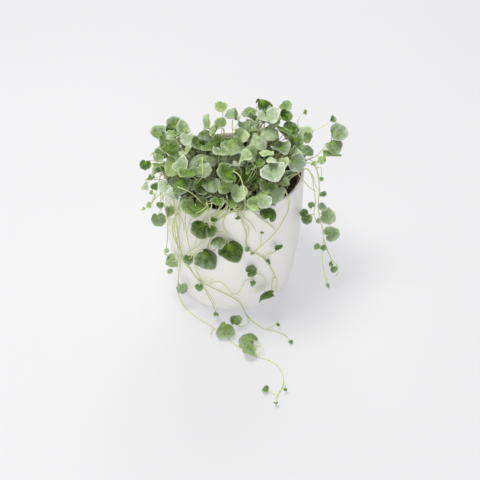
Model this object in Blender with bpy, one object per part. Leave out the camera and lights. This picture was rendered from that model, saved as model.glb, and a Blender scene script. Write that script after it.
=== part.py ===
"""Potted silver dichondra: white ceramic cover pot, taupe grow pot, soil, tufts of leaves, trailing runners.

Metres, +Z up. The origin is the centre of the cover pot's flat base, on the floor. +X is to the right of
the reference view and +Y points away from it. Leaves and runners that the reference view shows are placed by
where they are seen there by eye, in a frame of 480 by 480, and then carried onto the pot, the floor or the
mound.
"""

import math

import bmesh
import bpy
import numpy as np
from mathutils.bvhtree import BVHTree

MM = 0.001

# Cover pot
POT_HEIGHT = 0.140
POT_RIM_RADIUS = 0.070
POT_FLARE = 0.014
POT_FLARE_POWER = 3.1
POT_FOOT_ROUND = 0.005
POT_WALL = 0.0030
POT_FLOOR = 0.0050
POT_SIDES = 32

# Grow pot, which stands in the cover pot
GROW_TOP = 0.1375
GROW_WALL = 0.0011
GROW_GAP = 0.0008
GROW_BASE_RADIUS = 0.0470
GROW_STANDS_AT = POT_FLOOR + 0.0003
GROW_FLOOR = 0.0016
GROW_HOLES = 4
GROW_HOLE_RADIUS = 0.0045
GROW_HOLE_RING = 0.030
GROW_SIDES = 24  # the soil has as many, to fit in it

# Soil
SOIL_TOP = 0.1255
SOIL_GAP = 0.0004
SOIL_BUMP = 0.0011
STEM_HOLE_RADIUS = 0.0024
STEM_HOLE_DEPTH = 0.013
STEM_HOLE_SIDES = 4

# Leaves and stems
BLADE_THICKNESS = 0.0010
CREASE = 0.12  # share of the half width over which a fold is rounded
PETIOLE_RADIUS = 0.00046
RUNNER_RADIUS = 0.00095
STEM_SIDES = 3
RUNNER_RISE = 0.012
ROOT_DEPTH = 0.010
SHOOT_RADIUS = 0.0010
SHOOT_HEIGHT = 0.0035
SHOOT_LENGTH = 0.024
# Ways in which a shoot may lean from straight outwards, in degrees, the first of them that is clear taken
SHOOT_LEANS = (90, -90, 60, -60, 120, -120, 150, -150, 180, 30)
FINE_SPACING = 0.0006
FIRST_BUD = 0.004
BUD_SPACING = 0.0018
BUDS_TRIED = 6
TUFTS = 13
TUFT_RING = 0.048
BACK_RUNNERS = {"runner_back_1": (math.radians(72), 0.092), "runner_back_2": (math.radians(128), 0.110)}
GOLDEN_ANGLE = math.radians(137.5)
LEAST_PETIOLE = 0.004
SHORT_PETIOLE = 0.007
PETIOLE_SUNK = 0.0022
PETIOLE_ROOT = 0.0030
STEM_SPACING = 0.0095
CLEARANCE = 0.0002
RIM_CLEARANCE = 0.0007
FLOOR_CLEARANCE = 0.0004
NUDGE = 0.0012
NUDGES = 24
LIGHT_RAYS = 1500
MOST_LEAVES = 220
SEED = 11

# Mound of leaves over the pot, as a dome
DOME_CENTRE = np.array([0.0, 0.0, 0.130])
DOME_RADII = np.array([0.084, 0.084, 0.074])

# Reference view: a camera that looks at a point on the pot's axis, slightly to its right
VIEW_ELEVATION = math.radians(38.5)
VIEW_DISTANCE = 1.147
VIEW_TARGET = np.array([0.0064, 0.0, 0.050])
VIEW_FOCAL = 1100.0
VIEW_CENTRE = 240.0
TOWARDS_VIEWER = np.array([0.0, -math.cos(VIEW_ELEVATION), math.sin(VIEW_ELEVATION)])
VIEW_UP = np.array([0.0, math.sin(VIEW_ELEVATION), math.cos(VIEW_ELEVATION)])
VIEW_RIGHT = np.array([1.0, 0.0, 0.0])
VIEW_EYE = VIEW_TARGET + VIEW_DISTANCE * TOWARDS_VIEWER
UP = np.array([0.0, 0.0, 1.0])


def unit(v):
    """v at length 1."""
    return v / max(np.linalg.norm(v), 1e-12)


def pot_radius(z):
    """Outer radius of the cover pot's wall: full at the rim, drawn in by a power of the depth below it."""
    depth = np.clip(1 - np.asarray(z) / POT_HEIGHT, 0, 1)
    return POT_RIM_RADIUS - POT_FLARE * depth**POT_FLARE_POWER


def grow_radius(z):
    """Outer radius of the grow pot: a straight taper from its base up to the cover pot's inner wall."""
    top = POT_RIM_RADIUS - POT_WALL - GROW_GAP
    share = (np.asarray(z) - GROW_STANDS_AT) / (GROW_TOP - GROW_STANDS_AT)
    return GROW_BASE_RADIUS + (top - GROW_BASE_RADIUS) * share


# Places read in the reference view


def sight(across, down):
    """The unit direction from the eye in which the view's frame shows (across, down)."""
    sideways = VIEW_RIGHT * (across - VIEW_CENTRE) / VIEW_FOCAL
    return unit(sideways - VIEW_UP * (down - VIEW_CENTRE) / VIEW_FOCAL - TOWARDS_VIEWER)


def hung(across, down, depth):
    """The point seen there that lies depth millimetres behind the pot's axis."""
    ray = sight(across, down)
    return VIEW_EYE + ray * (depth * MM - VIEW_EYE[1]) / ray[1]


def floor(across, down, lift=1.2):
    """The point seen there that lies lift millimetres above the floor."""
    ray = sight(across, down)
    return VIEW_EYE + ray * (lift * MM - VIEW_EYE[2]) / ray[2]


def wall(across, down, proud):
    """The point seen there that stands proud millimetres off the cover pot's wall, on the viewer's side."""
    steps = np.linspace(0.85 * VIEW_DISTANCE, VIEW_DISTANCE * 1.03, 900)
    points = VIEW_EYE + steps[:, None] * sight(across, down)
    off = np.hypot(points[:, 0], points[:, 1]) - pot_radius(points[:, 2]) - proud * MM
    inside = np.flatnonzero(off < 0)
    return points[inside[0] if len(inside) else off.argmin()]


def dome(across, down, share):
    """The point seen there on the mound's dome scaled by share, or the sight line's nearest point to it."""
    ray = sight(across, down)
    start, way = (VIEW_EYE - DOME_CENTRE) / DOME_RADII, ray / DOME_RADII
    nearest = -(start @ way) / (way @ way)
    miss = start + nearest * way
    back = share**2 - miss @ miss
    return VIEW_EYE + ray * (nearest - math.sqrt(max(back, 0) / (way @ way)))


# Top of the mound as the view shows it against the background: (across, down)
SKYLINE = [
    (140, 175), (150, 132), (165, 124), (178, 120), (188, 127), (192, 137), (201, 136), (211, 131),
    (226, 133), (241, 131), (249, 116), (256, 104), (290, 106), (298, 132), (312, 168),
]
# Bottom of the mound as the view shows it, which leaves the soil open at the right: (across, down)
SKIRT = [(140, 200), (160, 208), (240, 212), (279, 208), (286, 164), (312, 158)]
# How far inside those lines a leaf's middle stays, in the view: from the sides, the top and the bottom
INSET_SIDE, INSET_TOP, INSET_BOTTOM = 6, 8, 5


def seen_in_mound(place):
    """Whether a leaf there stays between the mound's top and bottom in the view."""
    offset = place - VIEW_EYE
    depth = -offset @ TOWARDS_VIEWER
    across = VIEW_CENTRE + VIEW_FOCAL * (offset @ VIEW_RIGHT) / depth
    down = VIEW_CENTRE - VIEW_FOCAL * (offset @ VIEW_UP) / depth
    top, bottom = np.interp(across, *np.transpose(SKYLINE)), np.interp(across, *np.transpose(SKIRT))
    left, right = SKYLINE[0][0], SKYLINE[-1][0]
    return top + INSET_TOP < down < bottom - INSET_BOTTOM and left + INSET_SIDE < across < right - INSET_SIDE


# Shapes of a leaf and a stem, as lists of points and faces


def blade_radius(angle, width, lobe):
    """Distance from the notch to the margin of a kidney-shaped blade, at an angle from its midrib."""
    return 0.476 * width * (1 + np.cos(angle)) ** lobe


def blade_points(leaf, angle, share):
    """Points of the blade's middle surface: polar about the notch with an uneven outline, cupped by the
    square of the distance, folded along the midrib in a rounded crease, drooping to the tip, and waved along
    the margin."""
    reach = blade_radius(angle, leaf["width"], leaf["lobe"]) * share
    reach = reach * (1 + leaf["uneven"] * np.sin(2.5 * angle + leaf["phase"]))
    across, along = reach * np.sin(angle), reach * np.cos(angle)
    half = leaf["width"] / 2
    crease = CREASE * half
    height = leaf["cup"] * reach**2 / half + leaf["fold"] * (np.hypot(across, crease) - crease)
    height = height - leaf["droop"] * np.maximum(along, 0) ** 2 / half
    height = height + leaf["wave"] * half * share**2 * np.sin(3 * angle + leaf["phase"])
    side = np.cross(leaf["tip"], leaf["normal"])
    place = np.multiply.outer(across, side) + np.multiply.outer(along, leaf["tip"])
    return leaf["base"] + place + np.multiply.outer(height, leaf["normal"])


# Directions of the margin's points from the notch, in degrees, by the least width of a blade that has them
BLADE_ANGLES = {
    0.0215: np.radians([-150, -112, -70, -27, 27, 70, 112, 150]),
    0.0085: np.radians([-147, -92, -33, 33, 92, 147]),
    0.0: np.radians([-138, -50, 50, 138]),
}


def margin(leaf):
    """Points of the blade's margin from one side of the notch to the other."""
    angles = next(angles for least, angles in BLADE_ANGLES.items() if leaf["width"] >= least)
    return blade_points(leaf, angles, np.ones(len(angles)))


def blade_shell(leaf, thickness):
    """Closed plate with the blade's outline: a fan from the notch above and below, and a margin between."""
    outline = [leaf["base"], *margin(leaf)]
    lift = leaf["normal"] * thickness / 2
    count = len(outline)
    points = [p + lift for p in outline] + [p - lift for p in outline]
    faces = [(0, i + 1, i) for i in range(1, count - 1)]
    faces += [(count, count + i, count + i + 1) for i in range(1, count - 1)]
    faces += [(i, (i + 1) % count, count + (i + 1) % count, count + i) for i in range(count)]
    return points, faces


def stem_shell(path, radius_start, radius_end, sides):
    """Closed tapered tube along a path, each ring square to it and turned least from the one before."""
    path = np.asarray(path)
    ahead = np.gradient(path, axis=0)
    ahead /= np.linalg.norm(ahead, axis=1)[:, None]
    return tube_shell(path, ahead, np.linspace(radius_start, radius_end, len(path)), sides)


def petiole_shell(path, radius, sides):
    """Closed tube along a petiole, with all its rings square to its chord, so that its sides are flat."""
    chord = unit(path[-1] - path[0])
    return tube_shell(path, [chord] * len(path), [radius] * len(path), sides)


def tube_shell(path, ahead, radii, sides):
    """Closed tube with a ring round each point of a path, square to the direction ahead."""
    across = unit(np.cross(ahead[0], UP + 0.01 * VIEW_RIGHT))
    points, faces = [], []
    for centre, forward, radius in zip(path, ahead, radii):
        across = unit(across - forward * (across @ forward))
        over = np.cross(forward, across)
        for k in range(sides):
            turn = 2 * math.pi * k / sides
            points.append(centre + radius * (math.cos(turn) * across + math.sin(turn) * over))
    for ring in range(len(path) - 1):
        for k in range(sides):
            a, b = ring * sides + k, ring * sides + (k + 1) % sides
            faces.append((a, b, b + sides, a + sides))
    last = (len(path) - 1) * sides
    faces.append(tuple(reversed(range(sides))))
    faces.append(tuple(range(last, last + sides)))
    return points, faces


def smooth_path(points, spacing):
    """Catmull-Rom curve through the points, at about the given spacing."""
    points = np.asarray(points, float)
    padded = np.vstack([2 * points[0] - points[1], points, 2 * points[-1] - points[-2]])
    path = []
    for a, b, c, d in zip(padded, padded[1:], padded[2:], padded[3:]):
        steps = max(1, round(np.linalg.norm(c - b) / spacing))
        for t in np.arange(steps) / steps:
            bend = (2 * a - 5 * b + 4 * c - d) * t**2 + (3 * b - a - 3 * c + d) * t**3
            path.append(0.5 * (2 * b + (c - a) * t + bend))
    path = np.array([*path, points[-1]])
    path[:, 2] = np.maximum(path[:, 2], RUNNER_RADIUS + FLOOR_CLEARANCE)
    return path


def petiole_path(start, leave, leaf):
    """Cubic curve from a stem to the blade: it leaves along leave, comes to the notch from below and behind,
    and ends sunk a little way in the blade."""
    reach = np.linalg.norm(leaf["base"] - start)
    steps = 1 if reach < SHORT_PETIOLE else 2
    arrive = unit(0.55 * leaf["tip"] + 0.83 * leaf["normal"])
    second = start + leave * reach * 0.38
    third = leaf["base"] - arrive * reach * 0.30
    around = margin(leaf)
    middle = around[len(around) // 2 - 1 : len(around) // 2 + 1].mean(0) - leaf["base"]
    end = leaf["base"] + unit(middle) * min(PETIOLE_SUNK, 0.3 * np.linalg.norm(middle))
    t = np.linspace(0, 1, steps + 1)[:, None]
    return start * (1 - t) ** 3 + 3 * second * t * (1 - t) ** 2 + 3 * third * t**2 * (1 - t) + end * t**3


def make_leaf(centre, width, spin, nod, turn, own, draw):
    """A leaf whose blade's middle is at centre, with its angles in degrees. Spin is its tip's direction in
    the view, 0 to the right and 90 up. Nod tips its face from the viewer upwards, where 51 lies level, and
    turn tips it to the right. Own lists the forms that this leaf has in place of drawn ones."""
    nod, turn, spin = (math.radians(a) for a in (nod, turn, spin))
    normal = math.cos(nod) * TOWARDS_VIEWER + math.sin(nod) * VIEW_UP
    normal = unit(math.cos(turn) * normal + math.sin(turn) * VIEW_RIGHT)
    towards = math.cos(spin) * VIEW_RIGHT + math.sin(spin) * VIEW_UP
    tip = unit(towards - normal * (towards @ normal))
    leaf = shaped_leaf(centre, width, tip, normal, draw)
    for form in own:
        leaf.update(form)
    return leaf


def shaped_leaf(centre, width, tip, normal, draw):
    """A leaf with its own lobe, cup, fold, droop, wave and uneven outline, drawn at random within what the
    plant shows."""
    return {
        "base": centre - tip * width * 0.30,
        "width": width,
        "tip": tip,
        "normal": normal,
        "lobe": draw.uniform(0.20, 0.58),
        "cup": draw.uniform(-0.30, 0.60),
        "fold": draw.uniform(-0.30, 0.60),
        "droop": draw.uniform(-0.10, 0.50),
        "wave": draw.uniform(0.05, 0.20),
        "uneven": draw.uniform(0.0, 0.08),
        "phase": draw.uniform(0.0, 2 * math.pi),
    }


def moved(leaf, by):
    """The same leaf shifted by a vector."""
    return {**leaf, "base": leaf["base"] + by}


class Plant:
    """What has grown so far, and a slightly fatter outline of each piece that others keep out of."""

    def __init__(self, draw):
        self.draw = draw
        self.outlines = []
        self.middles = np.zeros((0, 3))
        self.sizes = np.zeros(0)
        self.leaves = []
        self.stems = []

    def clear(self, shell, node="", may_cross=()):
        """Whether the shell keeps out of the pot, the soil, the floor and every piece, except the kinds of
        piece of its own node that it may cross."""
        points = np.array(shell[0])
        radius, height = np.hypot(points[:, 0], points[:, 1]), points[:, 2]
        if height.min() < FLOOR_CLEARANCE:
            return False
        over_soil = radius < POT_RIM_RADIUS - POT_WALL
        if (height[over_soil] < SOIL_TOP + SOIL_BUMP + RIM_CLEARANCE).any():
            return False
        below_rim = height < POT_HEIGHT + RIM_CLEARANCE
        outside = radius > pot_radius(height) + RIM_CLEARANCE
        inside = radius < grow_radius(height) - GROW_WALL - RIM_CLEARANCE
        if (below_rim & ~outside & ~inside).any():
            return False
        if (below_rim & outside).any() and (below_rim & inside).any():
            return False
        middle = points.mean(0)
        size = np.linalg.norm(points - middle, axis=1).max()
        tree = None
        near = np.linalg.norm(self.middles - middle, axis=1) < self.sizes + size
        for number in np.flatnonzero(near):
            kind, other_node, other_tree = self.outlines[number]
            if node == other_node and kind in may_cross:
                continue
            if tree is None:
                tree = BVHTree.FromPolygons([tuple(p) for p in points], shell[1])
            if other_tree.overlap(tree):
                return False
        return True

    def keep(self, shell, node, kind):
        """Notes the shell's outline."""
        points = np.array(shell[0])
        middle = points.mean(0)
        tree = BVHTree.FromPolygons([tuple(p) for p in points], shell[1])
        self.outlines.append((kind, node, tree))
        self.middles = np.vstack([self.middles, middle])
        self.sizes = np.append(self.sizes, np.linalg.norm(points - middle, axis=1).max())

    def add_stem(self, node, path, start_radius, end_radius):
        """A stem is set by hand, so it is kept as it is."""
        self.stems.append((node, path, start_radius, end_radius))
        fat = start_radius + CLEARANCE
        for first in range(0, len(path) - 1, 4):
            stretch = path[first : first + 5]
            self.keep(stem_shell(stretch, fat, fat, 4), node, "stem")

    def blade_clear(self, leaf):
        """Whether the leaf's blade is clear of everything."""
        return self.clear(blade_shell(leaf, BLADE_THICKNESS + 2 * CLEARANCE))

    def add_leaf(self, node, leaf, start, leave):
        """Adds a leaf whose blade is clear if its petiole is clear too, and says whether it did. Petioles of
        one node may cross where they leave their stem."""
        path = petiole_path(start, leave, leaf)
        steps = np.linspace(0, len(path) - 1, 6 * len(path))
        fine = np.stack([np.interp(steps, range(len(path)), path[:, axis]) for axis in range(3)], -1)
        whole = petiole_shell(fine, PETIOLE_RADIUS + CLEARANCE, 4)
        if not self.clear(whole, node, ("stem", "petiole")):
            return False
        free = fine[np.linalg.norm(fine - start, axis=1) > PETIOLE_ROOT]
        if len(free) > 1:
            tip = petiole_shell(free, PETIOLE_RADIUS + CLEARANCE, 4)
            if not self.clear(tip, node, ("stem",)):
                return False
            self.keep(tip, node, "petiole")
        self.keep(blade_shell(leaf, BLADE_THICKNESS + 2 * CLEARANCE), node, "blade")
        self.leaves.append((node, leaf, start, leave))
        return True

    def lit(self, start, way, reach):
        """Whether a ray passes every blade on its way."""
        across = np.cross(self.middles - start, way)
        near = np.linalg.norm(across, axis=1) < self.sizes
        for number in np.flatnonzero(near):
            kind, _, tree = self.outlines[number]
            if kind == "blade" and tree.ray_cast(tuple(start), tuple(way), reach)[0] is not None:
                return False
        return True


# Forms of the leaves that show best: a kidney with its sides raised, a ridge with both halves dropped, a
# bowl, a dome, a margin that goes up and down, a long tip, and a bent leaf with a hollow in one side
KIDNEY = {"fold": 0.25, "cup": 0.40, "droop": 0.15, "lobe": 0.16, "wave": 0.05}
RIDGED = {"fold": -1.0, "cup": 0.05, "droop": 0.1, "lobe": 0.75}
CUPPED = {"fold": 0.0, "cup": 0.55, "droop": 0.0}
DOMED = {"fold": -0.35, "cup": -0.40, "droop": 0.1, "lobe": 0.5}
WAVED = {"fold": -0.45, "cup": -0.15, "wave": 0.3, "lobe": 0.35}
POINTED = {"fold": 0.35, "cup": 0.1, "droop": 0.1, "lobe": 0.8}
BENT = {"fold": -0.65, "cup": -0.1, "droop": 0.1, "lobe": 0.9, "wave": 0.15, "uneven": 0.18, "phase": 3.2}

# Runners, each with the place of its root in the soil (degrees round the pot, millimetres from its axis), its
# main stem after the root, its side stems, and its leaves (middle, width in millimetres, spin, nod, turn and
# perhaps a form of its own)


def runners():
    """The runners that the reference view shows, by name."""
    return {
        "runner_front_long": {
            "root": (-141, 52),
            "stem": [
                hung(176, 190, -44), hung(174, 199, -47), hung(175, 215, -47), hung(178, 235, -47),
                hung(181, 255, -47), hung(179, 270, -47), hung(178, 283, -47.5), floor(179, 296, 7),
                floor(183, 304, 2), floor(191, 313), floor(201, 320), floor(214, 328), floor(228, 339),
                floor(240, 348), floor(254, 356), floor(268, 359.5), floor(277, 365), floor(283, 376),
                floor(282, 387), floor(277, 396), floor(276, 405),
            ],
            "side": [
                [floor(283, 380), floor(285, 385), floor(286, 391, 2)],
                [floor(277, 397), floor(272, 392, 2), floor(268, 390, 3)],
                [floor(217, 330), floor(212, 331, 2), floor(210, 336, 3)],
                [floor(256, 357), floor(260, 353, 3), floor(264, 350, 5), floor(259, 346, 9)],
            ],
            "leaf": [
                (hung(182, 290, -52), 13, -80, 5, -10),
                (floor(222.5, 329, 11), 18, -115, 25, -20, RIDGED),
                (floor(247.5, 336, 13), 20, 135, 34, 5, DOMED),
                (floor(247, 347, 5), 16, -165, 55, 0, WAVED), (floor(264, 389, 4), 8, 170, 40, 0),
                (floor(276, 404, 2.5), 4.5, -90, 50, 0), (floor(286, 390, 3), 4.5, -80, 40, 30),
            ],
        },
        "runner_front_fork": {
            "root": (-126, 51),
            "stem": [
                hung(184, 199, -56), hung(180, 208, -60), hung(173, 222, -60), hung(173, 233, -60),
                hung(178, 246, -60), wall(184, 258, 7), wall(190, 268, 4), wall(195, 276, 3),
                wall(201, 281, 3), wall(209, 286, 3), wall(219, 291, 3), wall(230, 296, 3),
                wall(240, 303, 4), floor(246, 314, 3), floor(252, 321), floor(259, 326),
                floor(266, 329.5), floor(276, 331.5), floor(286, 336), floor(291, 343),
            ],
            "side": [
                [
                    wall(200, 280, 3), wall(205, 290, 7), wall(211, 301, 8), floor(216, 312, 8),
                    floor(218, 320, 6),
                ],
                [
                    wall(208, 285, 3), wall(214, 282, 7), wall(221, 282, 8), wall(227, 288, 8),
                    wall(233, 294, 8), wall(239, 292, 7), wall(243, 285, 6), wall(247, 280, 6),
                    wall(252, 279, 7),
                ],
                [floor(269, 329.5), floor(274, 325, 3), floor(278, 321, 6)],
                [floor(247, 315, 3), floor(249, 321, 4), floor(246, 325, 5), floor(240, 327, 6)],
            ],
            "leaf": [
                (wall(188, 261, 10), 12, -95, 10, 15), (wall(199, 289, 8), 9, -95, 5, 0),
                (floor(235, 319, 12), 13, 75, 20, 15),
                (wall(253, 271, 9), 13, 20, 10, 0), (wall(246, 264, 8), 11, 120, 15, -20),
                (wall(253, 284, 6), 7, -80, 20, 30), (floor(291, 342, 2.5), 5, -60, 50, 0),
                (floor(278, 325, 6), 4.5, -90, 20, 40), (floor(215, 314, 4), 7, -140, 60, 0),
            ],
        },
        "runner_front_leafy": {
            "root": (-108, 53),
            "stem": [
                hung(207, 202, -73), hung(208, 210, -80), hung(210, 220, -82), wall(213, 230, 7),
                wall(212, 240, 6), wall(207, 248, 7), wall(199, 250, 9), wall(191, 256, 9),
            ],
            "side": [
                [wall(212, 232, 7), wall(217, 232, 9), wall(223, 234, 9), wall(228, 240, 9)],
                [wall(195, 253, 9), wall(194, 262, 12), wall(199, 270, 10)],
            ],
            "leaf": [
                (hung(196, 214.5, -82), 28, -84, 34, -4, KIDNEY),
                (wall(203, 229.5, 17), 18, -109, 4, 25, RIDGED),
                (wall(211, 233, 11), 12, -75, 10, 20), (wall(218, 238.5, 14), 14, -90, 70, 0, DOMED),
                (wall(231.5, 250, 12), 19.5, -62, 0, 15, BENT),
                (wall(207, 257, 14), 19, -50, 12, 22, BENT), (hung(217, 204, -84), 13, -100, 30, 0),
            ],
        },
        "runner_front_tangle": {
            "root": (-98, 49),
            "stem": [
                hung(227, 196, -68), hung(228, 203, -73), hung(225, 208.5, -77.5), wall(219, 213, 4),
                wall(214, 218, 4),
            ],
            "side": [[hung(228, 204, -74), hung(231, 206, -79), hung(236, 210, -81), wall(238, 216, 7)]],
            "leaf": [(wall(214, 221, 6), 7, -100, 20, 0), (wall(238, 219, 8), 5, -60, 20, 0)],
        },
        "runner_front_middle": {
            "root": (-88, 54),
            "stem": [
                hung(231, 203, -75), hung(234, 209.5, -77), wall(240, 217, 2.5), wall(244, 226, 2.5),
                wall(246.5, 235, 2.5), wall(246, 244, 2.5), wall(250, 251, 2.2), wall(257, 254, 2.2),
                wall(263, 258, 2.2), wall(268, 264, 2.2), wall(273, 272, 2.2), wall(277, 282, 2.2),
                wall(276, 292, 2.2),
            ],
            "side": [[wall(262, 257, 2.2), wall(268, 254, 3), wall(274, 252, 4)]],
            "leaf": [
                (wall(247, 249, 5), 6, 170, 20, 0), (wall(279, 250, 5), 8.5, 10, 55, 0),
                (wall(266, 293, 5), 18, 185, 66, 0), (wall(270, 262, 6), 8, -50, 40, 50),
                (hung(244, 205, -74), 12, -100, 30, 0), (hung(233, 204, -78), 12, -70, 38, 0),
            ],
        },
        "runner_front_right": {
            "root": (-49, 54),
            "stem": [
                hung(284, 189, -50), hung(287, 194, -53), wall(289, 203, 3), wall(286.5, 214, 5.5),
                wall(280, 226, 7), wall(270, 238, 7.5), wall(261, 246, 8), wall(253, 253, 8),
            ],
            "side": [[wall(259, 247, 8), wall(261, 240, 9), wall(262, 232, 9)]],
            "leaf": [(wall(252, 254, 9), 4.5, -120, 30, 0), (wall(262, 232, 9.5), 4, 90, 30, 0)],
        },
        "runner_front_hung_leaf": {
            "root": (-68, 54),
            "stem": [
                hung(250, 204, -69), hung(253, 211, -72), wall(259, 217, 3), wall(266, 222, 3),
                wall(272, 226.5, 2.6), wall(276, 230, 2.6),
            ],
            "side": [],
            "leaf": [
                (wall(271, 212, 11), 17, 65, 8, 20, DOMED), (hung(250, 203, -76), 13, -90, 20, 0),
                (hung(259, 206, -72), 12, -80, 34, 0),
            ],
        },
        "runner_left_spray": {
            "root": (172, 50),
            "stem": [
                hung(172, 165, -5), hung(166, 167, -8), hung(161, 174, -11), hung(158, 186, -13),
                hung(155, 196, -15), hung(152, 204, -16),
            ],
            "side": [
                [hung(155, 196, -15), hung(152.5, 192, -17), hung(153, 188, -18)],
                [hung(159, 184, -13), hung(161, 199, -15), hung(161, 208, -18), hung(159, 212, -20)],
            ],
            "leaf": [
                (hung(144, 186, -15), 9.5, 190, 30, -20), (hung(155, 186, -20), 8.5, 60, 20, 20),
                (hung(148, 206, -18), 7, 200, 20, 0), (hung(143, 209, -18), 4.5, 190, 40, 0),
                (hung(160.5, 206, -25), 8, -95, 5, -5), (hung(157.5, 220, -22), 15, -85, 6, -8),
                (hung(150, 193, -19), 5, 180, 40, 0),
            ],
        },
        "runner_left_drop": {
            "root": (-160, 50),
            "stem": [
                hung(172, 176, -24), hung(166, 179, -26), hung(162, 190, -29), hung(165, 208, -31),
                hung(167.5, 226, -32), hung(167, 243, -32), hung(165, 254, -33),
            ],
            "side": [[hung(166, 250, -32), hung(172, 258, -34), hung(178, 262, -38)]],
            "leaf": [
                (hung(171, 263, -33), 17, -62, 0, -48), (hung(170, 213, -37), 13, -75, 10, 40),
                (hung(170, 272, -34), 6.5, -90, 0, 0), (hung(166, 251, -36), 6, 140, 30, 0),
            ],
        },
        "runner_right_long": {
            "root": (-6, 54),
            "stem": [
                hung(304, 164, -4), hung(311, 163, -3), hung(316, 168, -3), hung(319, 181, -4),
                hung(319, 195, -6), hung(318, 206, -8), hung(320, 219, -10), hung(323, 232, -12),
                hung(323, 245, -14), hung(322, 256, -16), hung(324, 270, -19), hung(327, 284, -22),
            ],
            "side": [
                [
                    hung(323, 238, -13), hung(327, 249, -15), hung(332, 260, -17), hung(337, 265, -18),
                    hung(338, 272, -19), hung(335, 277, -20),
                ],
                [hung(315, 166, -3), hung(321, 168, -6), hung(321.5, 178, -8)],
            ],
            "leaf": [
                (hung(324, 195.5, -10), 8.5, 0, 45, 0), (hung(323, 206, -11), 10, 60, 15, 10),
                (hung(328, 217, -15), 17, -15, 8, 10), (hung(334, 233, -13), 17.5, 20, 5, 0),
                (hung(317, 246, -16), 7, 190, 30, 0), (hung(324, 249, -18), 7.5, -60, 10, 0),
                (hung(332, 264, -20), 7, -40, 30, 30), (hung(334, 270, -20), 8, -80, 5, 0),
                (hung(328, 285, -22), 5, -40, 40, 0), (hung(321.5, 179, -9), 4.5, -90, 20, 0),
            ],
        },
        "runner_right_short": {
            "root": (-14, 55),
            "stem": [
                hung(303, 170, -14), hung(308, 169, -16), hung(312, 177, -17), hung(314, 190, -18),
                hung(315.5, 203, -19), hung(314, 214, -20), hung(317, 222, -21),
            ],
            "side": [[hung(314.5, 211, -20), hung(309, 215, -21), hung(305, 216, -22)]],
            "leaf": [
                (hung(310.5, 204, -21), 8, 120, 15, 0), (hung(303, 214, -24), 10, 160, 20, 0),
                (hung(307, 221, -24), 12, -80, 10, 0), (hung(319, 221, -24), 6, -40, 20, 0),
            ],
        },
        "runner_right_upper": {
            "root": (14, 52),
            "stem": [
                hung(302, 163, 8), hung(309, 159, 8), hung(316, 156, 8), hung(322, 150, 8), hung(328, 143, 8),
            ],
            "side": [
                [hung(316, 156, 8), hung(321, 156.5, 5), hung(325, 156, 4)],
                [hung(309, 159, 8), hung(315, 162, 5), hung(319, 162, 4)],
            ],
            "leaf": [
                (hung(338, 133, 8), 17, 2, 20, 0, POINTED),
                (hung(333, 147, 5), 16, -62, 20, 10, POINTED),
                (hung(331, 156, 3), 18, -6, 66, 0, POINTED), (hung(323, 161, 3), 10, -20, 25, 0),
                (hung(315, 164, 1), 7, -30, 30, 0),
            ],
        },
        "runner_right_back": {
            "root": (38, 46),
            "stem": [
                hung(290, 158, 26), hung(293, 149, 26), hung(297, 141, 26), hung(301, 134.5, 26),
                hung(306, 133, 25), hung(313, 130.5, 24), hung(321, 127, 23), hung(328, 123, 22),
            ],
            "side": [
                [hung(301, 134.5, 26), hung(298.5, 128, 28), hung(298, 120, 29), hung(301, 115, 30)],
                [hung(301, 134.5, 26), hung(296, 134, 30), hung(291, 134, 32)],
            ],
            "leaf": [
                (hung(304, 131, 20), 16, 100, 48, 0), (hung(308, 139, 19), 13, -88, 5, 38),
                (hung(304.5, 111, 30), 7, 55, 10, 60), (hung(332, 119, 22), 8, 60, 30, 40),
                (hung(287, 132.5, 30), 11.5, 175, 12, 0), (hung(306, 150, 12), 15, 95, 12, 0),
            ],
        },
    }


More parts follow.
